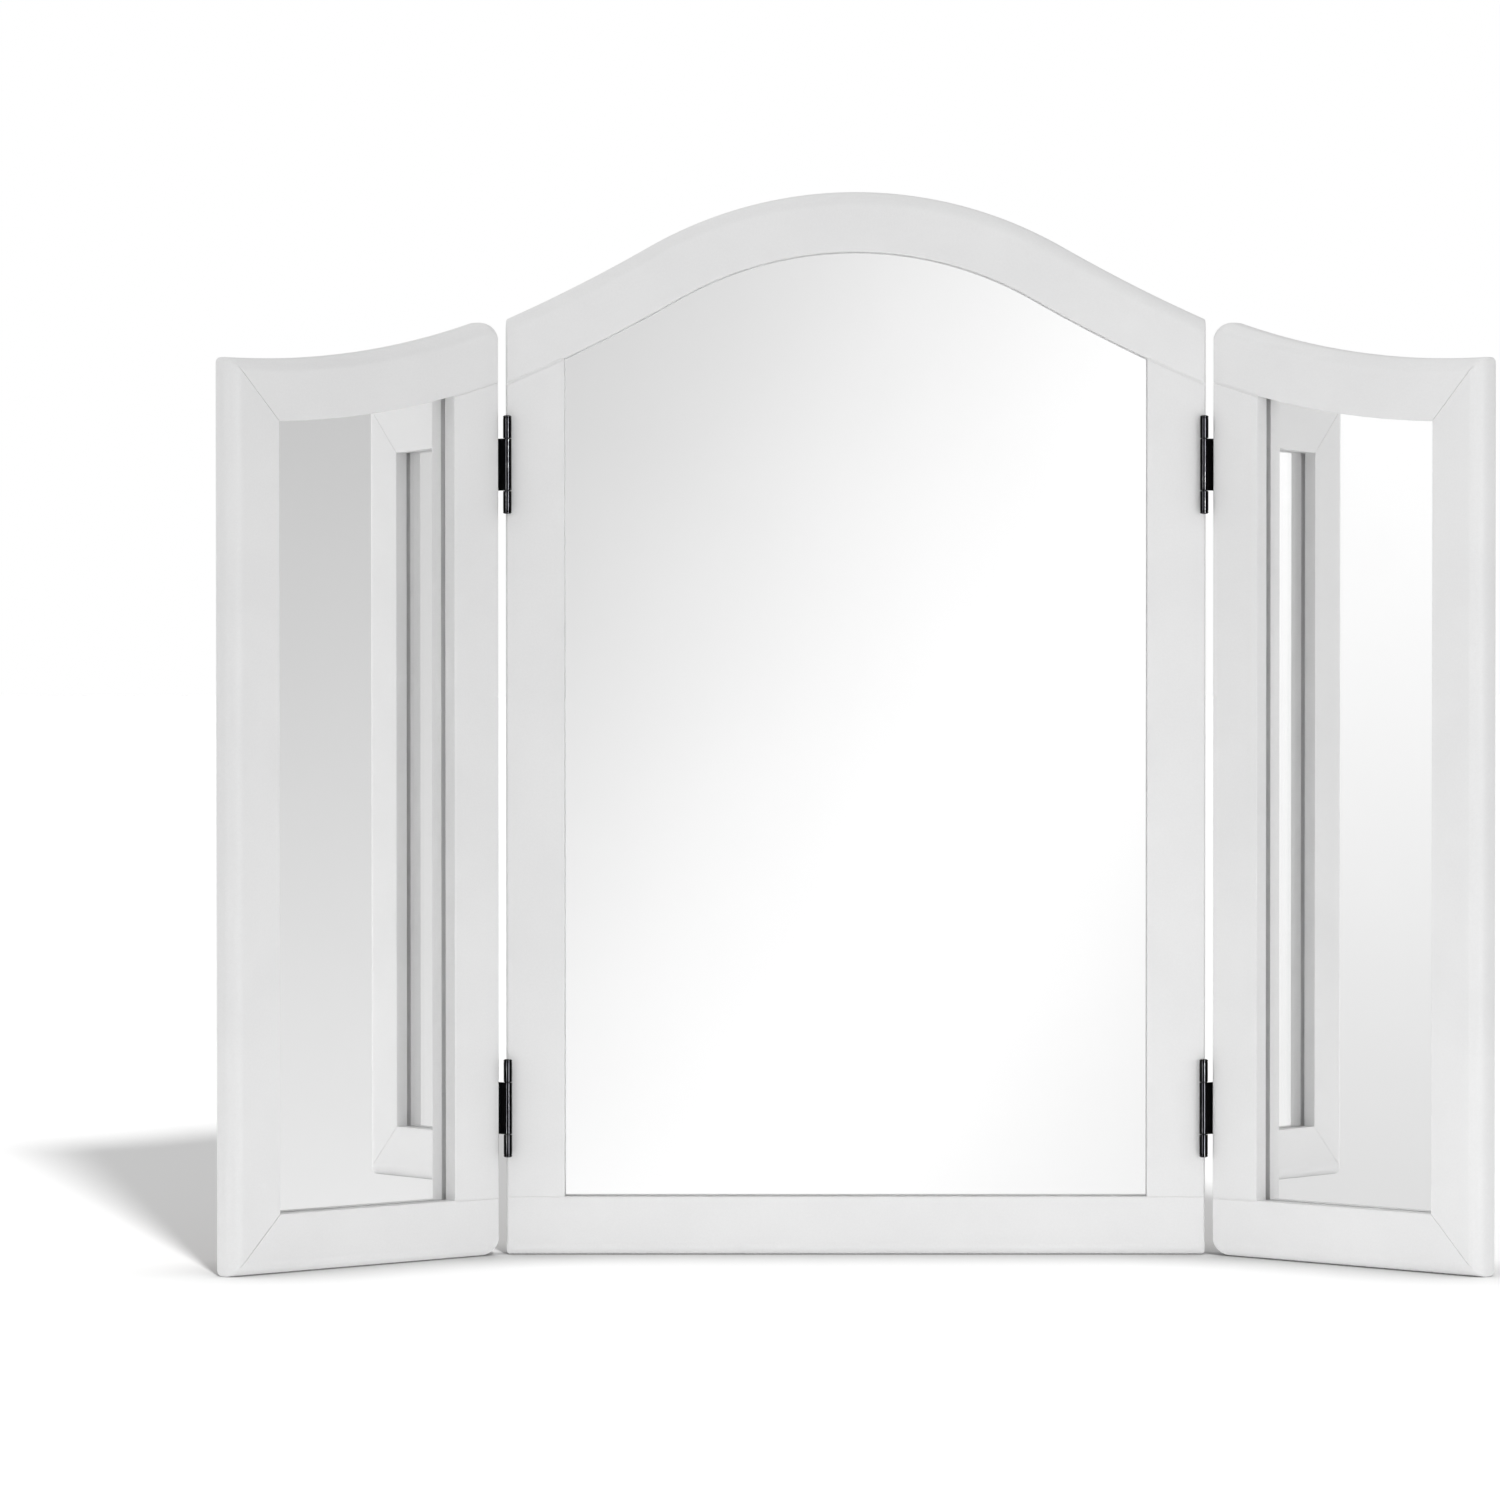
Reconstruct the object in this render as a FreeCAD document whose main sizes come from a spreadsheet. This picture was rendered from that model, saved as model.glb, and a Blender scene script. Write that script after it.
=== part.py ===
import FreeCAD, Part
import math
import os
import Sketcher
from FreeCAD import Placement, Rotation, Vector

# Trifold vanity mirror: an arched centre panel and two wings, each a wooden frame with a mirror, a packing
# card and a back panel, hung together on four flush hinges. Millimetres. X runs along the centre panel to
# the viewer's right, Y runs backwards through it and Z is up. The origin is the middle of the centre
# panel's foot. The wings stand folded forward by fold_angle.
#
# Each panel is drawn in its own frame: across it, y from its front face backwards, and z up from its foot.
# A wing's frame starts at its hinge axis and runs outwards. The left wing mirrors the right one.

doc = FreeCAD.newDocument("trifold_mirror")
sheet = doc.addObject("Spreadsheet::Sheet", "sizes")

DRIVING_SIZES = (
    ("panel_thickness", 18.0, "wood of every frame"),
    ("member_width", 30.0, "stiles and bottom rails"),
    ("edge_radius", 7.5, "rounding of the outer front and back edges"),
    ("arris_radius", 1.5, "rounding of the edges beside a hinge"),
    ("centre_width", 360.0, "centre panel"),
    ("overall_height", 547.5, "foot to the top of the crown"),
    ("crown_radius", 215.0, "round middle of the crown"),
    ("crown_reach", 106.7, "from the middle to where the crown runs into its shoulder"),
    ("shoulder_radius", 818.0, "hollow shoulders of the crown"),
    ("crown_rail_width", 31.0, "arched top rail"),
    ("wing_width", 173.8, "wing without its hinge gap"),
    ("wing_rise", 0.7, "a wing's top edge at its hinge, above the end of the crown"),
    ("wing_sweep_radius", 525.0, "hollow top edge of a wing"),
    ("wing_sweep_inset", 13.0, "from a wing's free edge to its lowest top point"),
    ("wing_rail_width", 31.5, "hollow top rail of a wing"),
    ("wing_corner_radius", 8.0, "a wing's corners beside the hinges"),
    ("lip_thickness", 7.5, "wood in front of the glass"),
    ("lip_width", 7.0, "wood that overlaps the glass and its clearance"),
    ("glass_thickness", 3.0, "mirror glass"),
    ("packing_thickness", 4.0, "card behind the glass"),
    ("board_thickness", 3.0, "back panel"),
    ("board_ledge", 8.0, "wood that the back panel is screwed to"),
    ("sheet_clearance", 1.0, "round the edges of glass, card and back panel"),
    ("groove_width", 0.75, "each side of the V-groove at a square joint"),
    ("hairline", 0.3, "eased edges of a mitre or a plain joint"),
    ("dowel_radius", 2.5, "joint dowels"),
    ("dowel_depth", 10.0, "dowel length in each member at a square joint"),
    ("mitre_dowel_depth", 7.5, "dowel length in each member at a mitre"),
    ("dowel_depth_from_face", 7.5, "dowel axis behind the front face"),
    ("fold_angle", 43.5, "wings forward of flat, degrees"),
    ("hinge_gap", 1.2, "between the panels when they lie flat"),
    ("hinge_inset", 1.0, "hinge axis inside the centre panel's edge"),
    ("hinge_proud", 3.75, "hinge axis in front of the front faces"),
    ("hinge_length", 48.0, "knuckles together"),
    ("middle_knuckle", 26.7, "wing's knuckle"),
    ("knuckle_radius", 2.2, "outside of the knuckles"),
    ("knuckle_gap", 0.15, "between two knuckles"),
    ("pin_radius", 1.0, "hinge pin"),
    ("pin_clearance", 0.05, "round the pin in its knuckles"),
    ("finial_height", 1.4, "button on each end of the pin"),
    ("leaf_thickness", 1.0, "hinge leaves"),
    ("leaf_reach", 14.0, "frame leaf behind the front face"),
    ("wing_leaf_reach", 10.0, "wing leaf behind the front face"),
    ("leaf_clearance", 0.3, "round the wing leaf where it nests"),
    ("leaf_screw_height", 6.0, "wing leaf's screws above and below its middle"),
    ("upper_hinge_drop", 41.2, "end of the crown's joint down to the middle of the upper hinges"),
    ("lower_hinge_height", 76.0, "foot to the middle of the lower hinges"),
    ("screw_head_radius", 2.4, "countersunk hinge screws"),
    ("screw_radius", 1.3, "shank of hinge and back panel screws"),
    ("screw_length", 12.0, "hinge screws"),
    ("screw_slot", 0.6, "slot width"),
    ("board_screw_head", 3.0, "radius of the back panel screws' round heads"),
    ("board_screw_length", 9.0, "back panel screws under the head"),
)

sheet.set("A1", "size")
sheet.set("B1", "value")
sheet.set("C1", "what it is")
for row, (alias, value, meaning) in enumerate(DRIVING_SIZES, 2):
    sheet.set(f"A{row}", alias)
    sheet.set(f"B{row}", str(value))
    sheet.set(f"C{row}", meaning)
    sheet.setAlias(f"B{row}", alias)
doc.recompute()


def value_of(expression):
    """The value of an expression on the sheet."""
    return float(sheet.evalExpression(expression))


# ---------------------------------------------------------------- expressions for the shared outlines

HALF_WIDTH = "(sizes.centre_width / 2)"
OPENING_HALF = "(sizes.centre_width / 2 - sizes.member_width)"
CROWN_COS = "sqrt(1 - (sizes.crown_reach / sizes.crown_radius)^2)"
CROWN_CENTRE_UP = "(sizes.overall_height - sizes.crown_radius)"
SHOULDER_CENTRE = "(sizes.crown_reach * (sizes.crown_radius + sizes.shoulder_radius) / sizes.crown_radius)"
SHOULDER_CENTRE_UP = (
    f"({CROWN_CENTRE_UP} + (sizes.crown_radius + sizes.shoulder_radius) * {CROWN_COS})"
)

HINGE_EDGE = "(sizes.hinge_inset + sizes.hinge_gap)"
FREE_EDGE = "(sizes.hinge_inset + sizes.hinge_gap + sizes.wing_width)"
WING_OPENING_START = "(sizes.hinge_inset + sizes.hinge_gap + sizes.member_width)"
WING_OPENING_END = "(sizes.hinge_inset + sizes.hinge_gap + sizes.wing_width - sizes.member_width)"
SWEEP_CENTRE = f"({FREE_EDGE} - sizes.wing_sweep_inset)"

AXIS_ACROSS = f"({HALF_WIDTH} - sizes.hinge_inset)"
AXIS_BACK = "(-sizes.panel_thickness / 2 - sizes.hinge_proud)"

GLASS_BACK = "(sizes.lip_thickness + sizes.glass_thickness)"
PACKING_BACK = f"({GLASS_BACK} + sizes.packing_thickness)"
BOARD_BACK = f"({PACKING_BACK} + sizes.board_thickness)"
GLASS_OVERLAP = "(sizes.lip_width - sizes.sheet_clearance)"
BOARD_OVERLAP = "(sizes.lip_width + sizes.board_ledge - sizes.sheet_clearance)"
SCREW_LINE = "(sizes.lip_width + sizes.board_ledge / 2)"


def crown_up(across, outward):
    """Height of a crown shoulder at a place across, the line lying outward from the rail's top edge."""
    radius = f"(sizes.shoulder_radius - ({outward}))"
    return f"({SHOULDER_CENTRE_UP} - sqrt({radius}^2 - ({SHOULDER_CENTRE} - ({across}))^2))"


SWEEP_CENTRE_UP = (
    f"({crown_up(HALF_WIDTH, '0')} + sizes.wing_rise"
    f" + sqrt(sizes.wing_sweep_radius^2 - ({SWEEP_CENTRE} - {HINGE_EDGE})^2))"
)
HINGE_MIDDLES = {
    "upper": f"({crown_up(HALF_WIDTH, '-sizes.crown_rail_width')} - sizes.upper_hinge_drop)",
    "lower": "sizes.lower_hinge_height",
}


def sweep_up(across, outward):
    """Height of a wing's hollow sweep at a place across, outward from the rail's top edge."""
    radius = f"(sizes.wing_sweep_radius - ({outward}))"
    return f"({SWEEP_CENTRE_UP} - sqrt({radius}^2 - ({SWEEP_CENTRE} - ({across}))^2))"


def crown_line(half_width, outward, from_right):
    """Corners along the crown at a distance outward from the rail's top edge, up to its far end."""
    radius = f"(sizes.crown_radius + ({outward}))"
    reach = f"(sizes.crown_reach * {radius} / sizes.crown_radius)"
    up = f"({CROWN_CENTRE_UP} + {radius} * {CROWN_COS})"
    shoulder = f"(sizes.shoulder_radius - ({outward}))"
    near, far = ("", "-") if from_right else ("-", "")
    above, below = ("right", "left") if from_right else ("left", "right")
    return [
        (f"{near}{half_width}", crown_up(half_width, outward), (shoulder, above)),
        (f"{near}{reach}", up, (radius, below)),
        (f"{far}{reach}", up, (shoulder, above)),
        (f"{far}{half_width}", crown_up(half_width, outward), None),
    ]


def centre_sheet_outline(overlap):
    """The centre opening, grown by an overlap on every side."""
    half = f"({OPENING_HALF} + {overlap})"
    foot = f"(sizes.member_width - {overlap})"
    outward = f"({overlap} - sizes.crown_rail_width)"
    return [(f"-{half}", foot, None), (half, foot, None)] + crown_line(half, outward, True)


def wing_sheet_outline(overlap):
    """A wing's opening, grown by an overlap on every side."""
    start = f"({WING_OPENING_START} - {overlap})"
    end = f"({WING_OPENING_END} + {overlap})"
    foot = f"(sizes.member_width - {overlap})"
    outward = f"({overlap} - sizes.wing_rail_width)"
    sweep = f"(sizes.wing_sweep_radius - ({outward}))"
    return [
        (start, foot, None),
        (end, foot, None),
        (end, sweep_up(end, outward), (sweep, "right")),
        (start, sweep_up(start, outward), None),
    ]


# ---------------------------------------------------------------- drawing helpers


def origin_feature(body, role):
    """A plane or an axis of a body's own origin."""
    return next(feature for feature in body.Origin.OriginFeatures if feature.Role == role)


def draw_outline(sketch, corners):
    """Close an outline through its corners, each (across, up, bend). bend is None where a straight
    edge leaves the corner, or (radius, side) where an arc does, its centre on that side of the way round."""
    places = [Vector(value_of(across), value_of(up), 0) for across, up, bend in corners]
    edges = []
    for number, (across, up, bend) in enumerate(corners):
        start = places[number]
        finish = places[(number + 1) % len(places)]
        if bend is None:
            edges.append((sketch.addGeometry(Part.LineSegment(start, finish)), 1, 2))
            continue
        radius, side = bend
        chord = finish - start
        to_left = Vector(-chord.y, chord.x, 0).normalize()
        if side == "right":
            to_left = -to_left
        rise = math.sqrt(value_of(radius) ** 2 - (chord.Length / 2) ** 2)
        centre = (start + finish) / 2 + to_left * rise
        first, last = (start, finish) if side == "left" else (finish, start)
        first_angle = math.atan2(first.y - centre.y, first.x - centre.x)
        last_angle = math.atan2(last.y - centre.y, last.x - centre.x)
        if last_angle < first_angle:
            last_angle += 2 * math.pi
        circle = Part.Circle(centre, Vector(0, 0, 1), value_of(radius))
        arc = sketch.addGeometry(Part.ArcOfCircle(circle, first_angle, last_angle))
        edges.append((arc, 1, 2) if side == "left" else (arc, 2, 1))
        place = sketch.addConstraint(Sketcher.Constraint("Radius", arc, value_of(radius)))
        sketch.renameConstraint(place, f"radius{number}")
        sketch.setExpression(f"Constraints.radius{number}", radius)
    for number, (across, up, bend) in enumerate(corners):
        edge, start_end, finish_end = edges[number]
        next_edge, next_start, next_finish = edges[(number + 1) % len(edges)]
        sketch.addConstraint(Sketcher.Constraint("Coincident", edge, finish_end, next_edge, next_start))
        for word, kind, expression in (("across", "DistanceX", across), ("up", "DistanceY", up)):
            limit = Sketcher.Constraint(kind, -1, 1, edge, start_end, value_of(expression))
            place = sketch.addConstraint(limit)
            sketch.renameConstraint(place, f"{word}{number}")
            sketch.setExpression(f"Constraints.{word}{number}", expression)


def slab(name, corners, front, thickness):
    """A body: an outline across a panel, padded backwards from a depth behind the front face."""
    body = doc.addObject("PartDesign::Body", name)
    sketch = body.newObject("Sketcher::SketchObject", f"{name}_outline")
    sketch.AttachmentSupport = [(origin_feature(body, "XZ_Plane"), "")]
    sketch.MapMode = "FlatFace"
    sketch.setExpression("AttachmentOffset.Base.z", f"-({front})")
    draw_outline(sketch, corners)
    pad = body.newObject("PartDesign::Pad", f"{name}_pad")
    pad.Profile = sketch
    pad.Reversed = True
    pad.setExpression("Length", thickness)
    doc.recompute()
    return body


def edges_where(shape, test):
    """Numbers of the edges whose two ends and middle all pass a test."""
    numbers = []
    for number, edge in enumerate(shape.Edges, 1):
        middle = (edge.FirstParameter + edge.LastParameter) / 2
        points = [edge.valueAt(at) for at in (edge.FirstParameter, middle, edge.LastParameter)]
        if all(test(point) for point in points):
            numbers.append(number)
    return numbers


def close_to(one, other):
    """Whether two lengths agree to a hundredth of a millimetre."""
    return abs(one - other) < 0.01


def rounded(base, name, radius, test):
    """An even rounding along the edges that pass a test."""
    fillet = doc.addObject("Part::Fillet", name)
    fillet.Base = base
    fillet.Edges = [(number, radius, radius) for number in edges_where(base.Shape, test)]
    doc.recompute()
    return fillet


def chamfered(base, name, width, test):
    """An even chamfer along the edges that pass a test."""
    chamfer = doc.addObject("Part::Chamfer", name)
    chamfer.Base = base
    chamfer.Edges = [(number, width, width) for number in edges_where(base.Shape, test)]
    doc.recompute()
    return chamfer


def with_corner(body, name, across, up):
    """Round a body's corner, seen from the front, where a wing turns beside its hinge."""
    base = body.Tip
    corner_across, corner_up = value_of(across), value_of(up)
    numbers = edges_where(
        base.Shape, lambda p: close_to(p.x, corner_across) and close_to(p.z, corner_up)
    )
    corner = body.newObject("PartDesign::Fillet", name)
    corner.Base = (base, [f"Edge{number}" for number in numbers])
    corner.setExpression("Radius", "sizes.wing_corner_radius")
    doc.recompute()
    return body


def group(kind, name, members):
    """A fusion or a compound of several objects."""
    joined = doc.addObject(kind, name)
    if kind == "Part::MultiFuse":
        joined.Shapes = members
    else:
        joined.Links = members
    doc.recompute()
    return joined


def cut(name, base, tool):
    """A base less a tool."""
    result = doc.addObject("Part::Cut", name)
    result.Base = base
    result.Tool = tool
    doc.recompute()
    return result


def block(name, across, back, up):
    """A box between pairs of expressions across, backwards and up."""
    box = doc.addObject("Part::Box", name)
    for size, axis, (low, high) in (("Length", "x", across), ("Width", "y", back), ("Height", "z", up)):
        box.setExpression(size, f"({high}) - ({low})")
        box.setExpression(f"Placement.Base.{axis}", low)
    return box


def upright(name, radius, low, high):
    """A cylinder about a hinge's axis between two heights."""
    cylinder = doc.addObject("Part::Cylinder", name)
    cylinder.setExpression("Radius", radius)
    cylinder.setExpression("Height", f"({high}) - ({low})")
    cylinder.setExpression("Placement.Base.z", low)
    return cylinder


def turned(name, corners):
    """A body: a profile of (out, up) corners turned about its own upright axis."""
    body = doc.addObject("PartDesign::Body", name)
    sketch = body.newObject("Sketcher::SketchObject", f"{name}_profile")
    sketch.AttachmentSupport = [(origin_feature(body, "XZ_Plane"), "")]
    sketch.MapMode = "FlatFace"
    draw_outline(sketch, corners)
    turn = body.newObject("PartDesign::Revolution", f"{name}_turned")
    turn.Profile = sketch
    turn.ReferenceAxis = (origin_feature(body, "Z_Axis"), [""])
    turn.Angle = 360
    doc.recompute()
    return body


def dome(rim, rise):
    """The sphere's radius under a dome of a given rim radius and rise."""
    return f"((({rim})^2 + ({rise})^2) / (2 * ({rise})))"


def copy_of(source, name, point, direction):
    """A placed copy whose own +Z points along a direction."""
    link = doc.addObject("App::Link", name)
    link.LinkedObject = source
    link.LinkTransform = True
    link.Placement = Placement(Vector(*point), Rotation(Vector(0, 0, 1), Vector(*direction)))
    return link


def copies_of(source, name, places):
    """Placed copies, each place being (point, direction)."""
    return [copy_of(source, f"{name}_{number}", *place) for number, place in enumerate(places, 1)]



parts = {}


def keep(name, shape_object, placement):
    """Name a finished sub-part and put it in its panel's place."""
    shape_object.Label = name
    shape_object.Placement = placement
    parts[name] = shape_object


def keep_mirrored(name, source_name):
    """The left-hand twin of a right-hand sub-part."""
    twin = doc.addObject("Part::Mirroring", f"{name}_twin")
    twin.Source = parts[source_name]
    twin.Normal = Vector(1, 0, 0)
    twin.Label = name
    parts[name] = twin


FULL = "sizes.panel_thickness"
thickness = value_of(FULL)
edge_radius = value_of("sizes.edge_radius")
arris = value_of("sizes.arris_radius")
member = value_of("sizes.member_width")

CENTRE_PLACE = Placement(Vector(0, -thickness / 2, 0), Rotation())
AXIS_PLACE = Placement(Vector(value_of(AXIS_ACROSS), value_of(AXIS_BACK), 0), Rotation())
FOLD = Placement(Vector(0, 0, 0), Rotation(Vector(0, 0, 1), -value_of("sizes.fold_angle")))
WING_PLACE = AXIS_PLACE * FOLD * Placement(Vector(0, value_of("sizes.hinge_proud"), 0), Rotation())


def at_face(point):
    """Whether a point lies on a panel's front or back face."""
    return close_to(point.y, 0) or close_to(point.y, thickness)


# ---------------------------------------------------------------- fasteners, drawn once and placed often

# Countersunk hinge screw: head flush with the leaf at height 0, its point downwards.
hinge_screw_blank = turned(
    "hinge_screw_blank",
    [
        ("0", "-sizes.screw_length", None),
        ("sizes.screw_radius", "-sizes.screw_length + sizes.screw_radius", None),
        ("sizes.screw_radius", "-(sizes.screw_head_radius - sizes.screw_radius)", None),
        ("sizes.screw_head_radius", "0", None),
        ("0", "0", None),
    ],
)
SLOT_HALF = "(sizes.screw_slot / 2)"
hinge_screw_slot = block(
    "hinge_screw_slot",
    ("-sizes.screw_head_radius", "sizes.screw_head_radius"),
    (f"-{SLOT_HALF}", SLOT_HALF),
    ("-sizes.screw_slot", "sizes.screw_slot"),
)
hinge_screw = cut("hinge_screw", hinge_screw_blank, hinge_screw_slot)

# Round-headed screw of the back panels: the head sits on the panel at height 0.
BOARD_HEAD_HEIGHT = "(sizes.board_screw_head / 2)"
board_screw_shank = turned(
    "board_screw_shank",
    [
        ("0", "-sizes.board_screw_length", None),
        ("sizes.screw_radius", "-sizes.board_screw_length + sizes.screw_radius", None),
        ("sizes.screw_radius", "0", None),
        ("0", "0", None),
    ],
)
board_screw_head = turned(
    "board_screw_head",
    [
        ("0", "0", None),
        ("sizes.board_screw_head", "0", None),
        (
            "sizes.board_screw_head",
            "sizes.board_screw_head / 10",
            (dome("sizes.board_screw_head", "sizes.board_screw_head * 0.4"), "left"),
        ),
        ("0", BOARD_HEAD_HEIGHT, None),
    ],
)
board_screw_slot = block(
    "board_screw_slot",
    ("-sizes.board_screw_head", "sizes.board_screw_head"),
    (f"-{SLOT_HALF}", SLOT_HALF),
    (f"{BOARD_HEAD_HEIGHT} - sizes.screw_slot", "sizes.board_screw_head"),
)
board_screw = cut(
    "board_screw",
    group("Part::MultiFuse", "board_screw_blank", [board_screw_shank, board_screw_head]),
    board_screw_slot,
)

# Dowels with eased ends, for the square joints and for the mitres, centred on the joint.
dowels = {}
for joint, depth in (("square", "sizes.dowel_depth"), ("mitre", "sizes.mitre_dowel_depth")):
    hole = upright(f"{joint}_dowel_hole", "sizes.dowel_radius", f"-{depth}", depth)
    doc.recompute()
    ease = value_of("sizes.dowel_radius / 5")
    end = value_of(depth)
    dowels[joint] = (hole, chamfered(hole, f"{joint}_dowel", ease, lambda p: close_to(abs(p.z), end)))


# ---------------------------------------------------------------- what is cut out of a panel's frame

SPACE_OVERLAP = "sizes.lip_width"
BOARD_SPACE_OVERLAP = "(sizes.lip_width + sizes.board_ledge)"
DOWEL_BACK = value_of("sizes.dowel_depth_from_face")
BOARD_SCREW_BACK = value_of(BOARD_BACK)


def grooves(panel, joints):
    """Square rods laid cornerwise along both faces of each joint: they cut the V of its eased edges.
    A joint is (outer end, inner end, width), its ends as (across, up)."""
    rods = []
    for number, (outer, inner, width) in enumerate(joints, 1):
        joint = Vector(outer[0] - inner[0], 0, outer[1] - inner[1])
        half = value_of(f"{width} / sqrt(2)")
        lie = Rotation(Vector(1, 0, 0), joint) * Rotation(Vector(1, 0, 0), 45)
        for face, back in (("front", 0), ("back", thickness)):
            rod = doc.addObject("Part::Box", f"{panel}_groove_{number}_{face}")
            rod.Length = joint.Length + member
            rod.setExpression("Width", f"sqrt(2) * {width}")
            rod.setExpression("Height", f"sqrt(2) * {width}")
            start = Placement(Vector(inner[0], back, inner[1]), lie)
            rod.Placement = start * Placement(Vector(0, -half, -half), Rotation())
            rods.append(rod)
    return rods


def square_joint_dowels(joint_up, opening_edge, outward):
    """Places of the two upright dowels of a square joint. joint_up gives its height at a place across."""
    nearest = value_of("sizes.lip_width + sizes.dowel_radius + 2")
    farthest = value_of("sizes.member_width - sizes.dowel_radius - 4")
    places = []
    for distance in (nearest, farthest):
        across = opening_edge + outward * distance
        places.append(((across, DOWEL_BACK, joint_up(across)), (0, 0, 1)))
    return places


def mitre_dowels(inner, outer):
    """Places of the two dowels that cross a mitre squarely, between its inner and outer corners."""
    along = Vector(outer[0] - inner[0], 0, outer[1] - inner[1])
    length = along.Length
    along.normalize()
    nearest = value_of("sizes.lip_width * 1.5 + sizes.dowel_radius + 0.5")
    farthest = length - value_of("sizes.mitre_dowel_depth + sizes.dowel_radius + 4.4")
    places = []
    for distance in (nearest, farthest):
        point = (inner[0] + along.x * distance, DOWEL_BACK, inner[1] + along.z * distance)
        places.append((point, (-along.z, 0, along.x)))
    return places


def panel_tool(panel, sheet_outline, solids):
    """All that is cut from a panel's frame: the glass space, the back panel's rebate and other solids."""
    glass_space = slab(
        f"{panel}_glass_space",
        sheet_outline(SPACE_OVERLAP),
        "sizes.lip_thickness",
        "sizes.panel_thickness",
    )
    board_space = slab(
        f"{panel}_board_space",
        sheet_outline(BOARD_SPACE_OVERLAP),
        PACKING_BACK,
        "sizes.panel_thickness",
    )
    return group("Part::MultiFuse", f"{panel}_tool", [glass_space, board_space] + solids)


def keep_sheets(panel, sheet_outline, shanks, placement):
    """A panel's glass, packing card and back panel, the last drilled for its screws."""
    glass = slab(
        f"{panel}_glass", sheet_outline(GLASS_OVERLAP), "sizes.lip_thickness", "sizes.glass_thickness"
    )
    card = slab(f"{panel}_card", sheet_outline(GLASS_OVERLAP), GLASS_BACK, "sizes.packing_thickness")
    board = slab(f"{panel}_board", sheet_outline(BOARD_OVERLAP), PACKING_BACK, "sizes.board_thickness")
    holes = group("Part::Compound", f"{panel}_board_holes", shanks)
    keep(f"{panel}_mirror", glass, placement)
    keep(f"{panel}_packing", card, placement)
    keep(f"{panel}_back_board", cut(f"{panel}_drilled_board", board, holes), placement)


def screw_places(points):
    """Back panel screws at (across, up) points, driven forwards."""
    return [((across, BOARD_SCREW_BACK, up), (0, 1, 0)) for across, up in points]


def hinge_screw_places(across, back, spread, direction):
    """Screws above and below the middle of both of a panel's hinges."""
    return [
        ((across, back, value_of(middle) + side * spread), (direction, 0, 0))
        for middle in HINGE_MIDDLES.values()
        for side in (1, -1)
    ]


FRAME_LEAF_FACE = "(sizes.hinge_inset + sizes.leaf_thickness)"
WING_LEAF_FACE = "(sizes.hinge_inset + sizes.hinge_gap - sizes.leaf_thickness)"
WINDOW_HALF = "(sizes.middle_knuckle / 2 + sizes.leaf_clearance)"
ARM_MIDDLE = f"(({WINDOW_HALF} + sizes.hinge_length / 2) / 2)"


# ---------------------------------------------------------------- centre panel

half_width = value_of(HALF_WIDTH)
opening_half = value_of(OPENING_HALF)
RAIL_INNER = "-sizes.crown_rail_width"
joint_out = value_of(crown_up(HALF_WIDTH, RAIL_INNER))
joint_in = value_of(crown_up(OPENING_HALF, RAIL_INNER))
crown_end = value_of(crown_up(HALF_WIDTH, "0"))


def centre_joint_up(across):
    """Height of the straight joint under the arched rail."""
    share = (abs(across) - opening_half) / (half_width - opening_half)
    return joint_in + share * (joint_out - joint_in)


# Square joints: the arched rail stands on the stiles, the stiles on the bottom rail.
centre_joints = []
centre_dowel_places = []
for side in (1, -1):
    out, opening = side * half_width, side * opening_half
    centre_joints.append(((out, joint_out), (opening, joint_in), "sizes.groove_width"))
    centre_joints.append(((out, member), (opening, member), "sizes.hairline"))
    centre_dowel_places += square_joint_dowels(centre_joint_up, opening, side)
    centre_dowel_places += square_joint_dowels(lambda across: member, opening, side)

# Back panel screws: three along each side of the opening.
screw_line = value_of(SCREW_LINE)
crown_centre_up = value_of(CROWN_CENTRE_UP)
crown_screw_radius = value_of(f"sizes.crown_radius - sizes.crown_rail_width + {SCREW_LINE}")
crown_screw_angle = 0.75 * math.asin(value_of("sizes.crown_reach / sizes.crown_radius"))
centre_screw_points = []
for share in (-1, 0, 1):
    centre_screw_points.append((share * 0.6 * opening_half, member - screw_line))
    angle = share * crown_screw_angle
    across = crown_screw_radius * math.sin(angle)
    centre_screw_points.append((across, crown_centre_up + crown_screw_radius * math.cos(angle)))
    middle = (member + joint_in) / 2
    up = middle + share * 0.38 * (joint_in - member)
    centre_screw_points.append((opening_half + screw_line, up))
    centre_screw_points.append((-opening_half - screw_line, up))
centre_screw_places = screw_places(centre_screw_points)

centre_hinge_places = hinge_screw_places(
    value_of(f"{AXIS_ACROSS} + {FRAME_LEAF_FACE}"),
    value_of("sizes.leaf_reach / 2"),
    value_of(ARM_MIDDLE),
    1,
)
centre_hinge_places += [
    ((-across, back, up), (-direction, 0, 0))
    for (across, back, up), (direction, level, rise) in centre_hinge_places
]

centre_shanks = copies_of(board_screw_shank, "centre_board_shank", centre_screw_places)
centre_tool = panel_tool(
    "centre",
    centre_sheet_outline,
    grooves("centre", centre_joints)
    + copies_of(dowels["square"][0], "centre_dowel_hole", centre_dowel_places)
    + centre_shanks
    + copies_of(hinge_screw_blank, "centre_hinge_hole", centre_hinge_places),
)

# Arched top rail: a band bent to the crown, its two feet cut straight where the stiles meet it.
centre_top = slab(
    "centre_top_blank",
    [(f"-{HALF_WIDTH}", crown_up(HALF_WIDTH, RAIL_INNER), None)]
    + crown_line(OPENING_HALF, RAIL_INNER, False)
    + [(HALF_WIDTH, crown_up(HALF_WIDTH, RAIL_INNER), None)]
    + crown_line(HALF_WIDTH, "0", True),
    "0",
    FULL,
)
crown_radius = value_of("sizes.crown_radius")


def on_crown(point):
    """On the front or back edge of the crown's outer line."""
    away = math.hypot(point.x, point.z - crown_centre_up)
    return at_face(point) and point.z > crown_end - 0.01 and away > crown_radius - 0.01


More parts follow.
